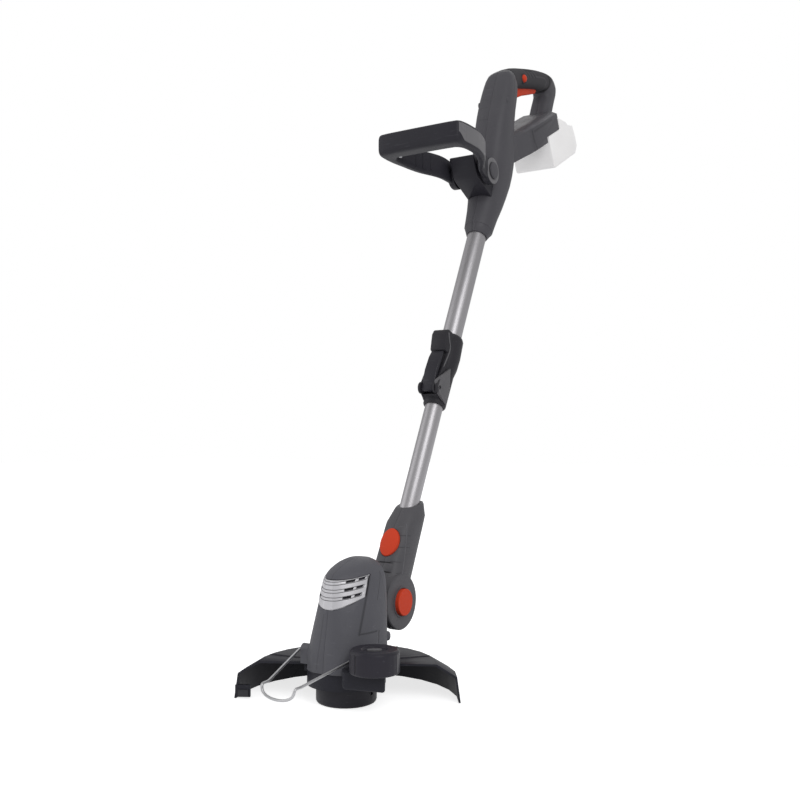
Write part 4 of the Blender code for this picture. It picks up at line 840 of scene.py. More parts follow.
GRIP_LINES = (
    *strokes(WORLD, 0.0013, RIGHT, 0.006,
             ((0.0157, 0.4760, 0.9002), (0.0170, 0.4860, 0.8956)),
             ((0.0147, 0.4879, 0.9049), (0.0170, 0.4975, 0.8972)),
             ((0.0149, 0.4974, 0.9080), (0.0171, 0.5107, 0.9014)),
             ((0.0145, 0.5066, 0.9115), (0.0171, 0.5191, 0.9056)), pale=True, strength=0.9),
    *strokes(WORLD, 0.0012, RIGHT, 0.006,
             ((0.0157, 0.4800, 0.9014), (0.0170, 0.4900, 0.8968)),
             ((0.0147, 0.4919, 0.9061), (0.0170, 0.5020, 0.8984)),
             ((0.0149, 0.5014, 0.9092), (0.0171, 0.5150, 0.9026)), strength=0.8),
    *mirrored(
        strokes(WORLD, 0.0018, RIGHT, 0.006,
                *stretches((0.0171, 0.5157, 0.9045), (0.0171, 0.5362, 0.9104), (0.0171, 0.5519, 0.9135),
                       (0.0171, 0.5588, 0.9098), (0.0155, 0.5572, 0.9024), (0.0101, 0.5589, 0.8976)),
                pale=True, strength=0.6)
        + strokes(WORLD, 0.0024, RIGHT, 0.002,
                  *stretches((0.0163, 0.5661, 0.9215), (0.0171, 0.5731, 0.9179), (0.0165, 0.5708, 0.9065),
                         (0.0113, 0.5669, 0.8991), (0.0048, 0.5590, 0.8962)), strength=0.9)))
DRUM_LINES = (
    *strokes(WORLD, 0.0011, FRONT, 0.050, ((0.0592, -0.0682, 0.0725), (0.0592, -0.0682, 0.0530))),
    *strokes(WORLD, 0.0011, RIGHT, 0.080, ((0.0915, -0.0290, 0.0725), (0.0915, -0.0290, 0.0530))))
MOTOR_LINES = (
    *mirrored(
        strokes(WORLD, 0.0024, OUTWARD, 0.018, ((0.0287, 0.0058, 0.1485), (0.0330, -0.0217, 0.0841)),
                strength=0.7)
        + strokes(WORLD, 0.0014, OUTWARD, 0.018,
                  ((0.0330, -0.0217, 0.0841), (0.0389, 0.0053, 0.0847)),
                  ((0.0390, 0.0096, 0.0841), (0.0400, 0.0072, 0.0712)), strength=0.7)
        + strokes(WORLD, 0.0009, RIGHT, 0.020, ((0.0294, 0.0259, 0.1499), (0.0356, 0.0112, 0.1192)),
                  strength=0.6)
        + strokes(WORLD, 0.0009, RIGHT, 0.020,
                  *stretches((0.0294, 0.0259, 0.1499), (0.0345, 0.0281, 0.1245), (0.0363, 0.0292, 0.0962)),
                  strength=0.4)),
    *strokes(WORLD, 0.0012, FRONT, 0.020,
             *stretches((-0.0058, -0.0372, 0.1054), (-0.0070, -0.0426, 0.0740), (-0.0092, -0.0459, 0.0452)),
             strength=0.35))
ARM_RIB_ENDS = (((0.0180, -0.0316, 0.1921), (0.0180, -0.0103, 0.2005)),
                ((0.0180, -0.0251, 0.1792), (0.0180, -0.0075, 0.1859)))
ARM_LINES = (
    *strokes(SHAFT, 0.0007, RIGHT, 0.008, *ARM_RIB_ENDS, strength=0.5),
    *strokes(SHAFT, 0.0007, RIGHT, 0.008,
             ((0.0180, -0.0253, 0.1600), (0.0180, -0.0150, 0.1632)),
             ((0.0180, -0.0175, 0.1480), (0.0180, -0.0118, 0.1505)), strength=0.45),
    *strokes(SHAFT, 0.0007, RIGHT, 0.008, ((0.0200, -0.0181, 0.2133), (0.0200, -0.0084, 0.1493)),
             pale=True),
    *flipped(strokes(SHAFT, 0.0007, RIGHT, 0.008, *ARM_RIB_ENDS)))
# the pale lines here are painted highlights along the hood's edges
GUARD_LINES = (
    *strokes(WORLD, 0.0014, UP, 0.035, ((0.0332, 0.0677, 0.0445), (0.0563, 0.0885, 0.0445)), pale=True),
    *strokes(WORLD, 0.0014, UP, 0.030, ((0.0563, 0.0885, 0.0445), (0.0750, 0.0927, 0.0363)), pale=True),
    *strokes(WORLD, 0.0014, UP, 0.020, ((0.0883, 0.0716, 0.0397), (0.1151, 0.0594, 0.0282)), pale=True),
    *strokes(WORLD, 0.0010, RIGHT, -0.15, ((-0.1202, 0.0474, 0.0136), (-0.1179, 0.0527, 0.0179)),
             pale=True),
    *strokes(WORLD, 0.0010, RIGHT, -0.15, ((-0.1163, 0.0570, 0.0121), (-0.1200, 0.0534, 0.0022))))


class Finish(Enum):
    """The finishes of the trimmer by the record's slots and their darker or lined variants.

    After the colour, a plastic gives its roughness, grain, scale of the grain, dust, scuffs and coat; a
    metal gives its roughness, its metallic share, whether it is drawn and the spread of its roughness.
    """

    HOUSING = Moulded("rear_housing_grey", (80, 79, 84), 0.50, 0.5, 800.0, 0.05, 0.20, lines=REAR_LINES)
    MOTOR = Moulded("motor_housing_grey", (91, 91, 97), 0.50, 0.5, 800.0, 0.03, 0.25, lines=MOTOR_LINES)
    ARM = Moulded("arm_grey", (88, 87, 91), 0.50, 0.5, 800.0, 0.04, 0.25, lines=ARM_LINES)
    BLACK = Moulded("black_plastic_grained", (43, 42, 49), 0.50, 0.5, 700.0, 0.05, 0.3, specular=0.25)
    GLOSS_BLACK = Moulded("black_plastic_smooth", (43, 42, 49), 0.40, 0.2, 900.0, 0.05, 0.3, 0.04,
                          specular=0.25)
    DRUM = Moulded("drum_black", (42, 40, 49), 0.40, 0.2, 900.0, 0.05, 0.3, 0.04, lines=DRUM_LINES,
                   specular=0.25)
    GUARD = Moulded("guard_black", (40, 40, 48), 0.44, 0.3, 800.0, 0.05, 0.4, lines=GUARD_LINES,
                    specular=0.22)
    CLAMP = Moulded("clamp_black", (46, 45, 50), 0.46, 0.4, 800.0, 0.06, 0.3, specular=0.25)
    SOFT = Moulded("soft_grip_black", (71, 70, 73), 0.82, 1.2, 520.0, 0.05, 0.1, lines=GRIP_LINES,
                   specular=0.20)
    ORANGE = Moulded("button_orange", (219, 72, 44), 0.50, 0.35, 900.0, 0.03, 0.15, specular=0.12)
    # pale grey of the clamp cover, also used as painted highlights on black ridges and ribs and as painted
    # light on the drum's black grip
    COVER_GREY_AND_HIGHLIGHT = Moulded("cover_grey_and_painted_highlight", (101, 100, 103), 0.45, 0.4, 800.0, 0.10, 0.2)
    # the trim's pale grey is partly the panel's own and partly painted light on the lit right arm
    TRIM_GREY_AND_PAINTED_LIGHT = Moulded("handle_trim_grey_and_painted_light", (118, 117, 120), 0.48, 0.5, 800.0, 0.06, 0.2)
    # the pack has a painted glow that lifts its shaded faces; it is no lamp
    PACK = Moulded("battery_grey_painted_glow", (250, 248, 248), 0.60, 0.5, 700.0, 0.0, 0.04, specular=0.2,
                   glow=0.165)
    BOARD = Moulded("board_green_lacquer", (38, 104, 70), 0.35, 0.2, 900.0, 0.0, 0.0, 0.3)
    NYLON = Moulded("line_orange_nylon", (214, 112, 52), 0.32, 0.2, 900.0, 0.0, 0.0, 0.2)
    SILVER = Metal("grille_silver_paint", (220, 219, 223), 0.34, 0.45, groove_shade=0.75)
    TUBE = Metal("drawn_aluminium", (180, 178, 181), 0.44, 1.0, True, 0.14)
    STEEL = Metal("plain_steel", (196, 196, 198), 0.34, 1.0, False, 0.12)
    DARK_STEEL = Metal("blackened_steel", (70, 70, 74), 0.42, 1.0, False, 0.12)


class Paintbox:
    """Builds each finish once and hands its material out."""

    def __init__(self) -> None:
        """Build the shader groups."""
        self.groups = Groups()
        self.made: dict[Finish, bpy.types.Material] = {}

    def get(self, finish: Finish) -> bpy.types.Material:
        """The material of a finish, built when it is first asked for."""
        if finish not in self.made:
            self.made[finish] = finish.value.build(self.groups)
        return self.made[finish]


@dataclass
class Workshop:
    """What every sub-assembly needs: the CAD nodes, the materials and a log of the pieces made."""

    nodes: dict[str, bpy.types.Object]
    paint: Paintbox
    pieces: list[str] = field(default_factory=list)

    def finish(self, obj: bpy.types.Object, finish: Finish, body: str, slot: str,
               replaces: tuple[str, ...] = ()) -> bpy.types.Object:
        """Give a new piece its material and body, and hide the nodes that it stands for.

        Args:
            obj: the piece.
            finish: its finish.
            body: the CAD body that it rides on.
            slot: the record's material slot; not used.
            replaces: CAD nodes that it stands for.

        Returns:
            The same piece.
        """
        obj.data.materials.clear()
        obj.data.materials.append(self.paint.get(finish))
        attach(obj, body)
        if replaces:
            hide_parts(*replaces)
        self.pieces.append(obj.name)
        LOG.info("piece %s on %s", obj.name, body)
        return obj

    def dress(self, node: str, finish: Finish, edge: float = 0.0005,
              angle: float = 38.0) -> bpy.types.Object:
        """Give a CAD node its material, smooth faces and softened edges.

        Args:
            node: the CAD node's name.
            finish: its finish.
            edge: width of the softened edges, 0 for none.
            angle: angle in degrees above which an edge counts as one.

        Returns:
            The node's object.
        """
        obj = self.nodes[node]
        obj.data.materials.clear()
        obj.data.materials.append(self.paint.get(finish))
        obj.data.polygons.foreach_set("use_smooth", np.ones(len(obj.data.polygons), bool))
        weld = obj.modifiers.new("weld", "WELD")
        weld.merge_threshold = 0.000002
        if edge:
            bevel = obj.modifiers.new("soft_edges", "BEVEL")
            bevel.width = edge
            bevel.segments = 2
            bevel.limit_method = "ANGLE"
            bevel.angle_limit = math.radians(angle)
            bevel.use_clamp_overlap = True
            bevel.miter_outer = "MITER_ARC"
        split = obj.modifiers.new("sharp_edges", "EDGE_SPLIT")
        split.split_angle = math.radians(50.0 if edge else angle)
        LOG.info("node %s dressed as %s", node, finish.value.name)
        return obj


# stage
@dataclass
class Stage:
    """Camera, floor and soft studio light."""

    lens: float = 43.2
    sensor: float = 36.0
    eye: Point = (0.65627, -0.93249, 0.30995)
    turn: Point = (math.radians(92.181), 0.0, math.radians(31.977))
    floor_half: float = 9.0
    floor_level: float = -0.0002
    floor_seen: Colour = (0.80, 0.80, 0.81, 1.0)
    floor_lit: Colour = (0.72, 0.72, 0.73, 1.0)
    floor_glow: float = 0.76
    floor_mirrored: float = 0.5
    surround: float = 0.52
    white: float = 1.0
    white_colour: Colour = (1.0, 1.0, 1.0, 1.0)
    aim: Point = (0.0, 0.2, 0.45)

    def build(self) -> None:
        """Make the camera, the floor, the lamps and the world."""
        self.make_camera()
        self.make_floor()
        self.make_lamps()
        self.make_world()
        bpy.context.scene.view_settings.view_transform = "Standard"

    def make_camera(self) -> None:
        """The photograph's camera, without shift or depth of field."""
        data = bpy.data.cameras.new("camera")
        data.lens = self.lens
        data.sensor_width = self.sensor
        data.clip_start = 0.01
        data.clip_end = 60.0
        camera = bpy.data.objects.new("camera", data)
        camera.location = self.eye
        camera.rotation_euler = self.turn
        bpy.context.scene.collection.objects.link(camera)
        bpy.context.scene.camera = camera

    def make_floor(self) -> None:
        """A pale floor that looks white to the camera and keeps the object's shadow."""
        span = np.linspace(-self.floor_half, self.floor_half, 9)
        x, y = np.meshgrid(span, span, indexing="ij")
        floor = surface("floor", np.stack([x, y, np.full_like(x, self.floor_level)], axis=-1), toward=UP)
        material, wire, plain = new_material("pale_floor")
        plain.inputs["Roughness"].default_value = 0.9
        plain.inputs["Specular IOR Level"].default_value = 0.0
        glow = wire.node("ShaderNodeEmission", {"Color": self.white_colour, "Strength": self.floor_glow})
        both = wire.node("ShaderNodeAddShader", {0: plain.outputs[0], 1: glow.outputs[0]})
        path = wire.node("ShaderNodeLightPath").outputs
        tone = wire.mix(path["Is Camera Ray"], self.floor_lit, self.floor_seen)
        material.node_tree.links.new(tone, plain.inputs["Base Color"])
        seen = wire.math("MAXIMUM", path["Is Camera Ray"],
                         wire.math("MULTIPLY", path["Is Glossy Ray"], self.floor_mirrored))
        mixed = wire.node("ShaderNodeMixShader", {0: seen, 1: plain.outputs[0], 2: both.outputs[0]})
        output = material.node_tree.nodes["Material Output"]
        material.node_tree.links.new(mixed.outputs[0], output.inputs["Surface"])
        floor.data.materials.append(material)

    def make_lamp(self, name: str, place: Point, size: float, power: float) -> None:
        """A square soft lamp that looks at the middle of the object.

        Args:
            name: the lamp's name.
            place: where it hangs.
            size: its side.
            power: its power in watts.
        """
        data = bpy.data.lights.new(name, "AREA")
        data.shape = "SQUARE"
        data.size = size
        data.energy = power
        lamp = bpy.data.objects.new(name, data)
        lamp.location = place
        away = np.array(place) - np.array(self.aim)
        flat = math.hypot(away[0], away[1])
        lamp.rotation_euler = (math.atan2(flat, away[2]), 0.0, math.atan2(away[0], -away[1]))
        bpy.context.scene.collection.objects.link(lamp)

    def make_lamps(self) -> None:
        """Key from the upper right, fill from the left and a weak light from behind."""
        self.make_lamp("key", (2.2, -1.6, 2.4), size=1.6, power=32.0)
        self.make_lamp("fill", (-2.4, -1.4, 1.4), size=2.2, power=14.0)
        self.make_lamp("back", (-0.8, 2.8, 2.2), size=1.8, power=9.0)

    def make_world(self) -> None:
        """An even surround that lights the object plainly and looks white to the camera."""
        world = bpy.data.worlds.new("surround")
        bpy.context.scene.world = world
        world.use_nodes = True
        wire = Wiring(world.node_tree)
        nodes = world.node_tree.nodes
        nodes["Background"].inputs["Color"].default_value = self.white_colour
        nodes["Background"].inputs["Strength"].default_value = self.surround
        white = wire.node("ShaderNodeBackground", {"Color": self.white_colour, "Strength": self.white})
        path = wire.node("ShaderNodeLightPath")
        seen = wire.math("MAXIMUM", path.outputs["Is Camera Ray"], path.outputs["Is Transmission Ray"])
        mixed = wire.node("ShaderNodeMixShader", {0: seen, 1: nodes["Background"].outputs[0],
                                                  2: white.outputs[0]})
        world.node_tree.links.new(mixed.outputs[0], nodes["World Output"].inputs["Surface"])


# sub-assemblies
@dataclass
class ShaftTubes:
    """The two drawn aluminium tubes that slide in each other."""

    lower_radius: float = 0.0123
    upper_radius: float = 0.0140
    wall: float = 0.0012
    rim: float = 0.0003
    lower_span: Pair = (0.178, 0.640)
    upper_span: Pair = (0.4408, 0.800)

    def tube(self, name: str, radius: float, span: Pair) -> bpy.types.Object:
        """A tube wall: its closed profile with softened rims, turned about the shaft."""
        corners = np.array([(radius, span[1]), (radius, span[0]), (radius - self.wall, span[0]),
                            (radius - self.wall, span[1])])
        profile = closed_rounded(corners, self.rim, 3)
        return turned(name, SHAFT, profile, count=128, along=True)

    def build(self, shop: Workshop) -> None:
        """Make both tubes."""
        lower = self.tube("lower_tube_drawn", self.lower_radius, self.lower_span)
        shop.finish(lower, Finish.TUBE, "inner_shaft", "aluminium", ("lower_tube",))
        upper = self.tube("upper_tube_drawn", self.upper_radius, self.upper_span)
        shop.finish(upper, Finish.TUBE, "handle_unit", "aluminium", ("upper_tube",))


@dataclass
class ScrewSet:
    """Cross-recess screw heads, each with a crowned face and four slots."""

    radius: float = 0.0031
    crown: float = 0.0005
    slot_depth: float = 0.0008

    def head(self, name: str, frame: Frame, place: Point) -> bpy.types.Object:
        """A screw head that looks along the frame's z.

        Formula: a disc of rings; the face falls by the slot's depth where either cross coordinate is
        small and the point lies within 62% of the radius.
        """
        inner = np.linspace(0.84, FACE_CENTRE, 22)
        shrink = np.concatenate([[1.0, 1.0, 0.97, 0.90], inner])
        turn = np.linspace(0.0, math.tau, 64, endpoint=False)
        radius = self.radius * shrink[:, None]
        x, y = radius * np.cos(turn), radius * np.sin(turn)
        level = np.concatenate([[-0.0010, 0.0, 0.00025, 0.0004], 0.0004 + self.crown * (1.0 - inner ** 2)])
        near = np.minimum(np.abs(x), np.abs(y))
        slot = (1.0 - smooth(0.00030, 0.00048, near)) * (1.0 - smooth(0.58, 0.66, shrink)[:, None])
        z = level[:, None] - self.slot_depth * slot * (shrink[:, None] < 0.8)
        grid = np.stack([x + place[0], y + place[1], z + place[2]], axis=-1)
        return surface(name, frame.world(grid), around=True, ends=True, steep=60.0)


@dataclass
class TelescopeClamp:
    """The black clamp sleeve with its cam lever, side cover and pin.

    The ridge is given as x, r, s of the shaft frame, the plate on the ear as r and s.
    """

    ridge: tuple[Point, ...] = (
        (0.0127, -0.0290, 0.4930), (0.0127, -0.0262, 0.4880), (0.0127, -0.0225, 0.4836),
        (0.0127, -0.0183, 0.4789), (0.0127, -0.0160, 0.4729), (0.0129, -0.0167, 0.4637),
        (0.0129, -0.0187, 0.4545), (0.0129, -0.0214, 0.4417))
    ear: tuple[Pair, ...] = (
        (-0.0335, 0.4072), (-0.0330, 0.4135), (-0.0290, 0.4188), (-0.0300, 0.4112), (-0.0300, 0.4054),
        (-0.0250, 0.4000), (-0.0290, 0.3990))

    def build(self, shop: Workshop) -> None:
        """Dress the nodes and add the recess round the pin, the plate on the ear and the ridges."""
        shop.dress("clamp_body", Finish.CLAMP, edge=0.0008)
        shop.dress("clamp_lever", Finish.GLOSS_BLACK, edge=0.0006)
        shop.dress("clamp_cover", Finish.COVER_GREY_AND_HIGHLIGHT, edge=0.0004)
        shop.dress("clamp_pin", Finish.STEEL, edge=0.0002)
        recess = ring_piece("clamp_pin_recess", side_frame(LEVER), outer=0.0027, inner=0.0017,
                            base=0.0172, height=0.0005, count=40)
        shop.finish(recess, Finish.CLAMP, "handle_unit", "black_plastic")
        outline = closed_rounded(np.array(self.ear), 0.0010, 4)
        plate = pillow("clamp_ear_plate", SHAFT, outline, base=0.0150, height=0.0030, edge=0.0005)
        shop.finish(plate, Finish.CLAMP, "handle_unit", "black_plastic")
        self.make_ridge(shop)

    def make_ridge(self, shop: Workshop) -> None:
        """The S-shaped ridge down each side of the sleeve: a half-sunk round bar along a curve, pale grey as
        a painted highlight on black plastic.
        """
        count = 60
        for name, sign in (("clamp_ridge_right", 1.0), ("clamp_ridge_left", -1.0)):
            rows = np.array(self.ridge) * np.array((sign, 1.0, 1.0))
            path = catmull(rows, np.linspace(0.0, len(rows) - 1.0, count))
            ridge = swept(name, SHAFT.world(path), tapered(np.linspace(-1.0, 1.0, count), 0.0010, 10))
            # the ridge's pale grey is a painted highlight on black plastic
            shop.finish(ridge, Finish.COVER_GREY_AND_HIGHLIGHT, "handle_unit", "black_plastic")


@dataclass
class LowerArm:
    """The arm below the telescope: its halves, the oval turn button, the tilt knob and the blind cap."""

    oval_half: float = 0.0128
    oval_stretch: float = 1.46
    oval_s: float = 0.1855
    knob_radius: float = 0.0165
    knob_foot: float = 0.0158
    cap_radius: float = 0.0150
    cap_foot: float = 0.0205

    def build(self, shop: Workshop) -> None:
        """Dress the halves and make the two buttons and the cap."""
        for node in ("arm_left", "arm_right"):
            shop.dress(node, Finish.ARM, edge=0.0007)
        self.make_oval(shop)
        self.make_knob(shop)

    def make_oval(self, shop: Workshop) -> None:
        """The oval button: a crowned pillow on an oval outline."""
        outline = disc_outline(self.oval_half, (0.0, self.oval_s), 72, self.oval_stretch)
        button = pillow("rotation_button_domed", SHAFT, outline, base=-0.0205, height=-0.0052,
                        edge=0.0014, crown=0.0010, axis="y")
        shop.finish(button, Finish.ORANGE, "turn_button", "orange_plastic", ("rotation_button",))

    def make_knob(self, shop: Workshop) -> None:
        """The round tilt button, a bezel round it and the plain cap on the other side."""
        side = side_frame(PIVOT)
        radius, foot = self.knob_radius, self.knob_foot
        profile = rounded_profile(np.array([
            (AXIS, foot), (radius, foot), (radius, 0.0270), (radius - 0.0015, 0.0274),
            (radius - 0.0024, 0.0271), (AXIS, 0.0276)]), 0.0012)
        knob = turned("tilt_button_domed", side, profile)
        shop.finish(knob, Finish.ORANGE, "head_tilt_button", "orange_plastic", ("tilt_button",))
        bezel = ring_piece("tilt_button_bezel", side, outer=0.0196, inner=0.0173, base=0.0216,
                           height=0.0011)
        shop.finish(bezel, Finish.ARM, "arm", "housing_grey")
        radius, foot = self.cap_radius, self.cap_foot
        profile = rounded_profile(np.array([
            (AXIS, foot), (radius, foot), (radius, 0.0228), (0.0132, 0.0232), (0.0128, 0.0226),
            (AXIS, 0.0228)]), 0.0005, 4)
        cap = turned("tilt_pivot_cap", side_frame(PIVOT, -1.0), profile, count=72)
        shop.finish(cap, Finish.BLACK, "arm", "black_plastic")


@dataclass
class MotorHousing:
    """The front surface of the motor housing, on which the vent grille lies.

    Each section is its height, nose y, half width, the y where it is widest, and its squareness.
    """

    sections: tuple[tuple[float, ...], ...] = (
        (0.0405, -0.0470, 0.0416, 0.0000, 2.40), (0.0520, -0.0468, 0.0413, 0.0010, 2.40),
        (0.0650, -0.0452, 0.0405, 0.0030, 2.40), (0.0900, -0.0408, 0.0386, 0.0080, 2.15),
        (0.1130, -0.0373, 0.0364, 0.0100, 1.85), (0.1350, -0.0340, 0.0336, 0.0120, 1.65),
        (0.1450, -0.0318, 0.0314, 0.0140, 1.60), (0.1510, -0.0262, 0.0288, 0.0160, 1.65),
        (0.1565, -0.0150, 0.0248, 0.0190, 1.75), (0.1615, -0.0010, 0.0190, 0.0215, 1.90),
        (0.1652, 0.0120, 0.0110, 0.0240, 2.00))
    nose_flat: float = 0.0009

    def front(self, x: Grid, z: Grid) -> Grid:
        """The y of the front surface.

        Formula: y = w - (w - f)(1 - (|x| / h)^p)^(1 / p), not further forward than the nose facet, where
        f, h, w and p are the section's nose, half width, widest place and squareness at height z.
        """
        dense = catmull(np.array(self.sections), np.linspace(0.0, len(self.sections) - 1.0, 400))
        nose, half, widest, power = (np.interp(z, dense[:, 0], dense[:, column]) for column in range(1, 5))
        share = np.clip(np.abs(x) / half, 0.0, 1.0)
        bowed = widest - (widest - nose) * (1.0 - share ** power) ** (1.0 / power)
        return np.maximum(bowed, nose + self.nose_flat)

    def raised(self, x: Grid, z: Grid, lift: Grid | float) -> Grid:
        """Points of the front surface moved out along its normal by lift."""
        step = 0.0004
        y = self.front(x, z)
        slope_x = (self.front(x + step, z) - self.front(x - step, z)) / (2 * step)
        slope_z = (self.front(x, z + step) - self.front(x, z - step)) / (2 * step)
        normal = np.stack([slope_x, -np.ones_like(y), slope_z], axis=-1)
        normal /= np.linalg.norm(normal, axis=-1, keepdims=True)
        return np.stack([x, y, z], axis=-1) + normal * np.asarray(lift)[..., None]


@dataclass
class VentGrille:
    """Silver shield with three rows of vents that wraps the front of the motor housing.

    The edges and the bow of the rows are heights against the distance from the middle, the right end is
    a distance against the share of the shield's height.
    """

    rows: tuple[float, ...] = (0.1233, 0.1320, 0.1408)
    spans: tuple[tuple[Pair, Pair], ...] = (
        ((0.0146, 0.0217), (0.0240, 0.0280)), ((0.0152, 0.0221), (0.0239, 0.0280)),
        ((0.0153, 0.0219), (0.0238, 0.0273)))
    slot: Pair = (-0.0011, 0.0017)
    frame_half: float = 0.0017
    frame_end: float = 0.0286
    groove: float = 0.0003
    groove_width: float = 0.00036
    rim_sunk: float = 0.0003
    rim_rise: float = 0.0011
    rim_width: float = 0.0011
    frame_fade: Pair = (0.0278, 0.0290)
    wall: float = 0.0007
    # the dark sheet behind the vents, which stands in for the shade inside them
    shade_sheet_half: float = 0.0292
    shade_sheet_span: Pair = (0.1210, 0.1470)
    shade_sheet_sunk: float = 0.0022
    shade_sheet_wall: float = 0.0004
    right_end: Curve = ((0.0, 0.5, 1.0), (0.0310, 0.0303, 0.0285))
    top_edge: Curve = ((0.0, 0.0080, 0.0128, 0.0203, 0.0252, 0.0285, 0.0312),
                       (0.1448, 0.1449, 0.1451, 0.1462, 0.1477, 0.1492, 0.1506))
    low_edge: Curve = ((0.0, 0.0050, 0.0154, 0.0245, 0.0304, 0.0312),
                       (0.1110, 0.1114, 0.1140, 0.1193, 0.1240, 0.1250))
    row_bow: Curve = ((0.0, 0.0080, 0.0150, 0.0200, 0.0240, 0.0270, 0.0310),
                      (0.0, 0.0003, 0.0013, 0.0024, 0.0036, 0.0047, 0.0064))

    def build(self, shop: Workshop, housing: MotorHousing) -> None:
        """Make the shield.

        Formula: the grid point (a, b) lies at x = a e(b), z = l(x) + b (t(x) - l(x)) on the housing's
        front, with e the right end, l the lower and t the upper edge; its lift is a rolled rim less two
        bell-shaped grooves that frame each row, whose depth is kept as the groove attribute for the painted
        shade in them; cells inside a vent are left out.
        """
        a = np.linspace(-1.0, 1.0, 221)[None, :]
        b = np.linspace(0.0, 1.0, 191)[:, None]
        x = a * np.interp(b, *self.right_end)
        away = np.abs(x)
        top, low = np.interp(away, *self.top_edge), np.interp(away, *self.low_edge)
        z = low + b * (top - low)
        level = z - np.interp(away, *self.row_bow)
        edge = np.minimum(np.minimum(b, 1.0 - b) * (top - low), (1.0 - np.abs(a)) * 0.034)
        lift = -self.rim_sunk + self.rim_rise * smooth(0.0, self.rim_width, edge)
        across = 1.0 - smooth(*self.frame_fade, away)
        depth = np.zeros_like(level)
        for row in self.rows:
            for side in (-1.0, 1.0):
                depth = depth + bump(level, row + side * self.frame_half, self.groove_width) * across
            ending = bump(away, self.frame_end, self.groove_width) * (np.abs(level - row) < self.frame_half)
            depth = np.maximum(depth, ending)
        grid = housing.raised(x, z, lift - self.groove * depth)
        middle_x = (x[:-1, :-1] + x[1:, 1:]) / 2.0
        middle_z = (level[:-1, :-1] + level[1:, 1:]) / 2.0
        holes = np.zeros(middle_x.shape, bool)
        for row, spans in zip(self.rows, self.spans):
            for near, far in spans:
                inside = (np.abs(middle_x) > near) & (np.abs(middle_x) < far)
                holes |= inside & (middle_z - row > self.slot[0]) & (middle_z - row < self.slot[1])
        shield = surface("vent_grille_shield", grid, holes=holes, steep=70.0, toward=FRONT)
        kept = shield.data.attributes.new("groove", "FLOAT", "POINT")
        kept.data.foreach_set("value", depth.ravel().astype(np.float32))
        thicken(shield, self.wall)
        shop.finish(shield, Finish.SILVER, "motor_head", "silver_paint", ("vent_grille",))
        self.make_shade_sheet(shop, housing)

    def make_shade_sheet(self, shop: Workshop, housing: MotorHousing) -> None:
        """A dark sheet behind the vents that stands in for the shade inside them: the front surface moved in
        by 2.2 mm, 0.5 mm at its ends.
        """
        rows, columns = 25, 61
        x = np.linspace(-self.shade_sheet_half, self.shade_sheet_half, columns)[None, :] + np.zeros((rows, 1))
        z = np.linspace(*self.shade_sheet_span, rows)[:, None] + np.zeros((1, columns))
        lift = -self.shade_sheet_sunk + 0.0017 * smooth(0.0200, 0.0240, np.abs(x))
        # painted shade: a dark sheet where the vents would show only shade
        shade_sheet = surface("vent_shade_sheet", housing.raised(x, z, lift), toward=FRONT)
        thicken(shade_sheet, self.shade_sheet_wall)
        shop.finish(shade_sheet, Finish.BLACK, "motor_head", "black_plastic")


@dataclass
class MotorHead:
    """The motor housing's halves, the motor, the bosses of the seam screws and the two side latches."""

    bosses: tuple[Pair, ...] = ((0.0420, 0.0600), (0.0440, 0.1180), (0.0435, 0.1460))
    latch: Point = (0.0327, 0.0363, 0.0731)

    def build(self, shop: Workshop) -> None:
        """Dress the halves and the motor, and add the pieces on the housing."""
        for node in ("motor_housing_left", "motor_housing_right"):
            shop.dress(node, Finish.MOTOR, edge=0.0006)
        shop.dress("motor_can", Finish.STEEL, edge=0.0)
        housing = MotorHousing()
        VentGrille().build(shop, housing)
        for index, (y, z) in enumerate(self.bosses):
            boss = self.make_boss("housing_boss_%d" % (index + 1), y, z)
            shop.finish(boss, Finish.MOTOR, "motor_head", "housing_grey")
        x, y, z = self.latch
        half = np.array([(AXIS, -0.0056), (0.0034, -0.0052), (0.0047, -0.0020)])
        profile = rounded_profile(np.concatenate([half, half[::-1] * (1.0, -1.0)]), 0.0020, 6)
        for name, sign in (("housing_latch_right", 1.0), ("housing_latch_left", -1.0)):
            latch = turned(name, WORLD, profile + np.array((0.0, z)), (sign * x, y), 48)
            shop.finish(latch, Finish.MOTOR, "motor_head", "housing_grey")

    def make_boss(self, name: str, y: float, z: float) -> bpy.types.Object:
        """A screw boss on the housing's back: a short rounded barrel along x."""
        radius, half = 0.0042, 0.0120
        profile = rounded_profile(np.array([(AXIS, -half), (radius, -half), (radius, half), (AXIS, half)]),
                                  0.0009)
        return turned(name, side_frame(placed((0.0, y, z))), profile, count=48)


@dataclass
class CuttingGuard:
    """The half-round hood with its stiffening ribs, and the line cutter."""

    turn: float = math.radians(27.3)
    rib_degrees: tuple[float, ...] = (24.0, 60.0, 96.0, 132.0, 160.0)
    rib_span: Pair = (0.0560, 0.1050)
    rib_height: float = 0.0445

    def build(self, shop: Workshop) -> None:
        """Dress the hood and the cutter, and add the ribs."""
        shop.dress("guard", Finish.GUARD, edge=0.0006, angle=16.0)
        shop.dress("line_cutter", Finish.DARK_STEEL, edge=0.0002)
        self.make_ribs(shop)

    def make_ribs(self, shop: Workshop) -> None:
        """Low radial ribs on the hood's sloping shoulder: half-round bars that run outwards."""
        radius = np.linspace(*self.rib_span, 24)
        size = tapered((radius - 0.0805) / 0.0250, 0.0011, 8)
        for index, degrees in enumerate(self.rib_degrees):
            angle = self.turn + math.radians(degrees)
            path = np.stack([radius * math.cos(angle), radius * math.sin(angle),
                             np.full_like(radius, self.rib_height)], axis=-1)
            rib = swept("guard_rib_%d" % (index + 1), path, size, 10)
            shop.finish(rib, Finish.GLOSS_BLACK, "motor_head", "black_plastic")


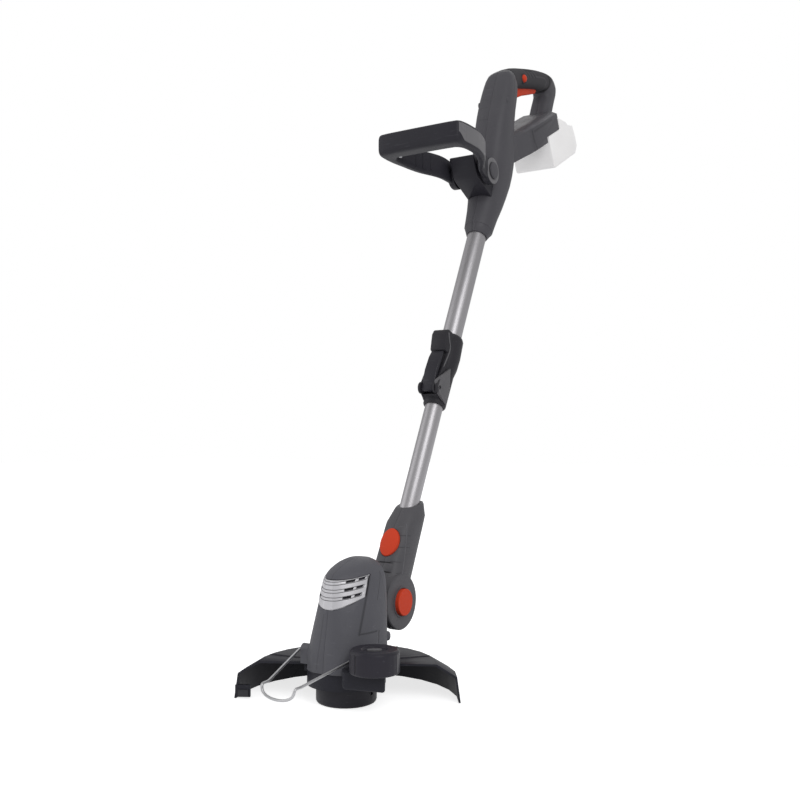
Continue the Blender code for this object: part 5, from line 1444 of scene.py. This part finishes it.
@dataclass
class SpareSpool:
    """The spare line drum: fluted wall, recessed top with an oblong grip, and a rib on its side."""

    middle: Pair = (0.0667, -0.0412)
    radius: float = 0.0281
    slant: float = 32.0
    top: float = 0.0760
    low: float = 0.0502
    flutes: float = 12.0
    flute_depth: float = 0.0005
    rib_angle: float = math.radians(6.0)

    def build(self, shop: Workshop) -> None:
        """Make the drum, its oblong grip and the rib."""
        profile = rounded_profile(np.array([
            (0.0052, self.low), (self.radius - 0.0010, self.low), (self.radius, self.low + 0.0015),
            (self.radius, self.top - 0.0026), (self.radius - 0.0024, self.top), (0.0150, self.top),
            (0.0136, self.top - 0.0020), (AXIS, self.top - 0.0022)]), 0.0007, 5)
        turn = np.linspace(0.0, math.tau, 192, endpoint=False)
        wall = bump(profile[:, 1], (self.low + self.top) / 2.0, 0.0125) ** 2 * (profile[:, 0] > 0.026)
        wave = (0.5 - 0.5 * np.cos(turn * self.flutes))[None, :] ** 6
        flute = -self.flute_depth * wall[:, None] * wave
        drum = turned("spare_spool_drum", WORLD, profile, self.middle, 192, flute)
        shop.finish(drum, Finish.DRUM, "spare", "black_plastic", ("spare_spool",))
        slant = math.radians(self.slant)
        frame = Frame((self.middle[0], self.middle[1], 0.0), (math.sin(slant), -math.cos(slant), 0.0),
                      (math.cos(slant), math.sin(slant), 0.0), WORLD.z)
        # the grip's pale grey is painted light on the up-facing top of a black part
        oblong = disc_outline(0.0036, count=48, stretch=2.3)
        grip = pillow("spare_spool_grip", frame, oblong, base=self.top - 0.0030, height=0.0030,
                      edge=0.0008, crown=0.0003, axis="z")
        shop.finish(grip, Finish.COVER_GREY_AND_HIGHLIGHT, "spare", "black_plastic")
        # the pale rib is a painted highlight down the black drum's side
        height = np.linspace(self.low + 0.0020, self.top - 0.0030, 24)
        reach = self.radius - 0.0003
        path = np.stack([np.full_like(height, self.middle[0] + reach * math.cos(self.rib_angle)),
                         np.full_like(height, self.middle[1] + reach * math.sin(self.rib_angle)), height],
                        axis=-1)
        rib = swept("spare_spool_rib", path, tapered(np.linspace(-1.0, 1.0, 24), 0.0012, 8))
        shop.finish(rib, Finish.COVER_GREY_AND_HIGHLIGHT, "spare", "black_plastic")


@dataclass
class SpoolHead:
    """The turning spool: its housing, cup, line and shaft, and the two eyelets."""

    eyelet_height: float = 0.0140

    def build(self, shop: Workshop) -> None:
        """Dress the nodes and make the eyelets."""
        for node in ("spool_housing", "line_spool"):
            shop.dress(node, Finish.BLACK, edge=0.0004)
        shop.dress("drive_shaft", Finish.STEEL, edge=0.0)
        shop.dress("wound_line", Finish.NYLON, edge=0.0)
        shop.dress("spool_cup", Finish.GLOSS_BLACK, edge=0.0005)
        side = side_frame(placed((0.0, 0.0, self.eyelet_height)))
        for name, sign in (("line_eyelet_left", -1.0), ("line_eyelet_right", 1.0)):
            eyelet = ring_piece(name, side, outer=0.0034, inner=0.0021, base=sign * 0.0342,
                                height=sign * 0.0016, count=40)
            shop.finish(eyelet, Finish.GLOSS_BLACK, "spool_head", "steel")


@dataclass
class EdgeWire:
    """The sprung steel wire that keeps the line off walls."""

    radius: float = 0.0016
    left: Pair = (-0.0425, 0.0034)
    right: Pair = (0.0345, 0.0022)
    pivot: Pair = (-0.0270, 0.0617)
    knee: Point = (0.0228, -0.1150, 0.0444)
    stub: float = 0.0060
    nose: float = 0.0110
    drop: float = 0.0145
    lead: Pair = (-0.0032, -0.0007)
    bend: float = 0.0050

    def end(self, pivot: float, bend: float) -> Grid:
        """One end of the wire: its stub in the ear's bore, then the bend outside the ear."""
        out = math.copysign(1.0, pivot)
        y, z = self.pivot
        return np.array([(pivot - out * self.stub, y, z), (pivot + out * bend, y, z),
                         (pivot + out * bend, y + self.lead[0], z + self.lead[1])])

    def build(self, shop: Workshop) -> None:
        """Make the wire.

        Formula: a rounded polyline from ear to ear; the loop at the nose is x = -k cos a,
        z = knee - drop sin(a)^0.7 for a from 0 to 180 degrees.
        """
        kx, ky, kz = self.knee
        turn = np.linspace(0.0, math.pi, 9)[1:-1]
        legs = [np.array([(sign * kx, ky, kz), (sign * kx, ky - self.nose, kz)]) for sign in (-1.0, 1.0)]
        loop = np.stack([-kx * np.cos(turn), np.full_like(turn, ky - self.nose - 0.001),
                         kz - self.drop * np.sin(turn) ** 0.7], axis=-1)
        path = np.concatenate([self.end(*self.left), legs[0], loop, legs[1][::-1],
                               self.end(*self.right)[::-1]])
        wire = swept("edge_wire_bent", rounded_profile(path, self.bend, 7), self.radius, 16)
        shop.finish(wire, Finish.STEEL, "wire_guide", "steel", ("edge_wire",))


@dataclass
class RearHandle:
    """Housing halves, soft grip, trigger, lock-off button and the screws on the left.

    The screws are given as r and s of the shaft frame, the button by its y and z in the grip's.
    """

    screws: tuple[Pair, ...] = ((0.0190, 0.7200), (-0.0440, 0.9020), (0.0985, 1.0200))
    screw_depth: float = 0.0148
    button: Pair = (-0.0417, -0.0016)

    def build(self, shop: Workshop) -> None:
        """Dress the nodes and add the button and the screw heads."""
        for node in ("housing_left", "housing_right"):
            shop.dress(node, Finish.HOUSING, edge=0.0007)
        shop.dress("grip_sleeve", Finish.SOFT, edge=0.0005)
        shop.dress("trigger", Finish.ORANGE, edge=0.0004)
        for node in ("switch_module", "terminal_block"):
            shop.dress(node, Finish.BLACK, edge=0.0003)
        shop.dress("control_board", Finish.BOARD, edge=0.0)
        self.make_button(shop)
        left = side_frame(SHAFT, -1.0)
        for index, (r, s) in enumerate(self.screws, 1):
            screw = ScrewSet().head("housing_screw_head_%d" % index, left, (s, r, self.screw_depth))
            shop.finish(screw, Finish.STEEL, "handle_unit", "steel", ("housing_screw_%d" % index,))

    def make_button(self, shop: Workshop) -> None:
        """The lock-off button: a crowned disc with a rolled edge, and the soft bead round it."""
        side = side_frame(GRIP)
        profile = rounded_profile(np.array([(AXIS, 0.0112), (0.0063, 0.0112), (0.0063, 0.0185),
                                            (0.0055, 0.0205), (0.0034, 0.0219), (AXIS, 0.0223)]), 0.0014, 6)
        button = turned("lock_off_button_domed", side, profile, self.button, 64)
        shop.finish(button, Finish.ORANGE, "lock_off", "orange_plastic", ("lock_off_button",))
        bead = ring_piece("lock_off_bead", side, outer=0.0082, inner=0.0068, base=0.0168, height=0.0016,
                          middle=self.button, count=56)
        shop.finish(bead, Finish.SOFT, "handle_unit", "soft_black")


@dataclass
class FrontHandle:
    """The D-shaped front handle: loop, eyes, right trim, inner ribs and the bolt caps."""

    eye_low: float = 0.0233
    eye_high: float = 0.0330
    eye_radius: float = 0.0195
    bar_half: float = 0.0660
    reach: float = 0.1627
    depth: float = 0.0290
    rise: float = 0.0116
    arm: float = 0.0120
    power: float = 4.2
    trim_span: Pair = (0.9, 6.15)
    trim_seam: float = 4.9
    trim_wall: float = 0.0012
    rib_places: tuple[float, ...] = (14.6, 15.0, 15.4)

    def stations(self) -> Grid:
        """Stations of the whole loop: outer x, y, inner x, y, half height and height of the middle."""
        b, e, w, k = self.bar_half, self.eye_high, self.arm, self.rise
        half = np.array([
            (e - 0.0008, -0.0060, self.eye_low + 0.0008, -0.0060, 0.0150, 0.0),
            (e + 0.0050, -0.0380, self.eye_low + 0.0055, -0.0380, 0.0160, k * 0.5),
            (b - 0.0100, -0.0700, b - 0.0100 - w, -0.0700, 0.0162, k * 0.8),
            (b - 0.0020, -0.0997, b - 0.0020 - w, -0.0997, 0.0160, k),
            (b, -0.1227, b - 0.0010 - w, -0.1197, 0.0158, k),
            (b - 0.0004, -0.1467, b - 0.0030 - w, -0.1277, 0.0156, k),
            (b - 0.0026, -0.1587, b - 0.0080 - w, -0.1327, 0.0154, k),
            (b - 0.0110, -self.reach, b - 0.0140 - w, -self.reach + self.depth, 0.0152, k),
            (0.0220, -self.reach - 0.0015, 0.0220, -self.reach + self.depth, 0.0150, k)])
        mirror = half[::-1] * np.array((-1.0, 1.0, -1.0, 1.0, 1.0, 1.0))
        return np.concatenate([half, mirror])

    def loop(self) -> bpy.types.Object:
        """The loop.

        Formula: at each place the section is a superellipse between the outer and inner points:
        middle + reach sgn(sin a)|sin a|^(2/p) across, half height sgn(cos a)|cos a|^(2/p) up.
        """
        stations = self.stations()
        row = catmull(stations, np.linspace(0.0, len(stations) - 1.0, 180))
        outer, inner, half, rise = row[:, 0:2], row[:, 2:4], row[:, 4], row[:, 5]
        middle, reach = (outer + inner) / 2.0, (inner - outer) / 2.0
        turn = np.linspace(0.0, math.tau, 56, endpoint=False)
        up = signed_power(np.cos(turn), 2.0 / self.power)[None]
        deep = signed_power(np.sin(turn), 2.0 / self.power)[None]
        flat = middle[:, None] + reach[:, None] * deep[..., None]
        z = rise[:, None] + half[:, None] * up
        grid = np.concatenate([flat, z[..., None]], axis=-1)
        return surface("front_handle_loop", HUB.world(grid), around=True, ends=True, steep=60.0)

    def build(self, shop: Workshop) -> None:
        """Make the loop with its eyes, and dress the bracket, the bolt and the caps."""
        shop.finish(self.loop(), Finish.BLACK, "auxiliary_handle", "black_plastic", ("front_handle",))
        for name, sign in (("front_handle_eye_left", -1.0), ("front_handle_eye_right", 1.0)):
            side = side_frame(HUB, sign)
            corners = np.array([(0.0043, self.eye_low), (self.eye_radius, self.eye_low),
                                (self.eye_radius, self.eye_high), (0.0150, self.eye_high),
                                (0.0140, self.eye_high - 0.0008), (0.0043, self.eye_high - 0.0008)])
            eye = turned(name, side, closed_rounded(corners, 0.0008, 4), count=96, along=True)
            shop.finish(eye, Finish.BLACK, "auxiliary_handle", "black_plastic")
        # the right eye's pale ring, like the trim, is partly painted light on the lit right arm
        ring = ring_piece("front_handle_ring_right", side_frame(HUB), outer=0.0190, inner=0.0124,
                          base=self.eye_high - 0.0012, height=0.0018)
        shop.finish(ring, Finish.TRIM_GREY_AND_PAINTED_LIGHT, "auxiliary_handle", "cover_grey")
        self.make_trim(shop)
        self.make_ribs(shop)
        shop.dress("handle_bracket", Finish.BLACK, edge=0.0010)
        shop.dress("handle_bolt", Finish.STEEL, edge=0.0)
        profile = rounded_profile(np.array([(AXIS, 0.0333), (0.0121, 0.0333), (0.0121, 0.0358),
                                            (0.0108, 0.0368), (AXIS, 0.0372)]), 0.0010)
        for node, sign in (("handle_cap_left", -1.0), ("handle_cap_right", 1.0)):
            cap = turned(node + "_domed", side_frame(HUB, sign), profile, count=72)
            shop.finish(cap, Finish.HOUSING, "handle_unit", "black_plastic", (node,))
        below = Frame((-0.0398, 0.1840, 0.6970), WORLD.y, WORLD.x, DOWN)
        screw = ScrewSet(radius=0.0024).head("front_handle_screw", below, NOWHERE)
        shop.finish(screw, Finish.STEEL, "auxiliary_handle", "steel")

    def make_trim(self, shop: Workshop) -> None:
        """The pale trim on the right arm's outer face, a grey panel whose paleness is partly painted light
        on that lit face.

        Formula: the loop's outer face between two places, its lift a rolled rim, with a step across it.
        """
        stations = self.stations()
        place = np.linspace(*self.trim_span, 110)
        row = catmull(stations, place)
        outer, inner, half, rise = row[:, 0:2], row[:, 2:4], row[:, 4], row[:, 5]
        out = outer - inner
        out /= np.linalg.norm(out, axis=1, keepdims=True)
        across = np.linspace(-1.0, 1.0, 41)
        ends = np.minimum(place - place[0], place[-1] - place)[:, None]
        edge = np.minimum(1.0 - np.abs(across)[None], ends)
        lift = -0.0010 + 0.0016 * smooth(0.0, 0.09, edge)
        seam = bump(np.broadcast_to(place[:, None], lift.shape), self.trim_seam, 0.03)
        lift = lift - 0.0005 * seam - 0.0004 * (place[:, None] > self.trim_seam) * (across[None] < 0.1)
        low = -1.0 + 0.85 * smooth(self.trim_seam, self.trim_span[1], place)[:, None]
        span = half[:, None] * 0.74 * (low + (1.0 - low) * (across[None] + 1.0) / 2.0)
        flat = outer[:, None] + out[:, None] * lift[..., None]
        grid = np.concatenate([flat, (rise[:, None] + span)[..., None]], axis=-1)
        trim = surface("front_handle_trim", HUB.world(grid), steep=60.0, toward=RIGHT)
        thicken(trim, self.trim_wall)
        shop.finish(trim, Finish.TRIM_GREY_AND_PAINTED_LIGHT, "auxiliary_handle", "cover_grey")

    def make_ribs(self, shop: Workshop) -> None:
        """Low upright ribs on the inner face of the left arm: half-round bars."""
        stations = self.stations()
        t = np.linspace(-0.72, 0.72, 20)
        for index, place in enumerate(self.rib_places, 1):
            row = catmull(stations, np.array([place]))[0]
            path = np.stack([np.full_like(t, row[2]), np.full_like(t, row[3]), row[5] + row[4] * t], axis=-1)
            rib = swept("front_handle_rib_%d" % index, HUB.world(path), tapered(t / 0.74, 0.0008, 8), 10)
            shop.finish(rib, Finish.BLACK, "auxiliary_handle", "black_plastic")


@dataclass
class BatteryPack:
    """The slide-on pack with its release button."""

    def build(self, shop: Workshop) -> None:
        """Dress the pack and the button."""
        shop.dress("battery_pack", Finish.PACK, edge=0.0009, angle=20.0)
        shop.dress("battery_release_button", Finish.BLACK, edge=0.0006)


def main() -> None:
    """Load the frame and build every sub-assembly."""
    logging.basicConfig(level=logging.INFO, format="%(name)s: %(message)s")
    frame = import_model()
    stage = Stage()
    stage.build()
    shop = Workshop(frame["nodes"], Paintbox())
    assemblies = (ShaftTubes(), TelescopeClamp(), LowerArm(), MotorHead(), CuttingGuard(), SpareSpool(),
                  SpoolHead(), EdgeWire(), RearHandle(), FrontHandle(), BatteryPack())
    for assembly in assemblies:
        assembly.build(shop)
        LOG.info("%s built", type(assembly).__name__)
    LOG.info("%d new pieces", len(shop.pieces))


if __name__ == "__main__":
    main()
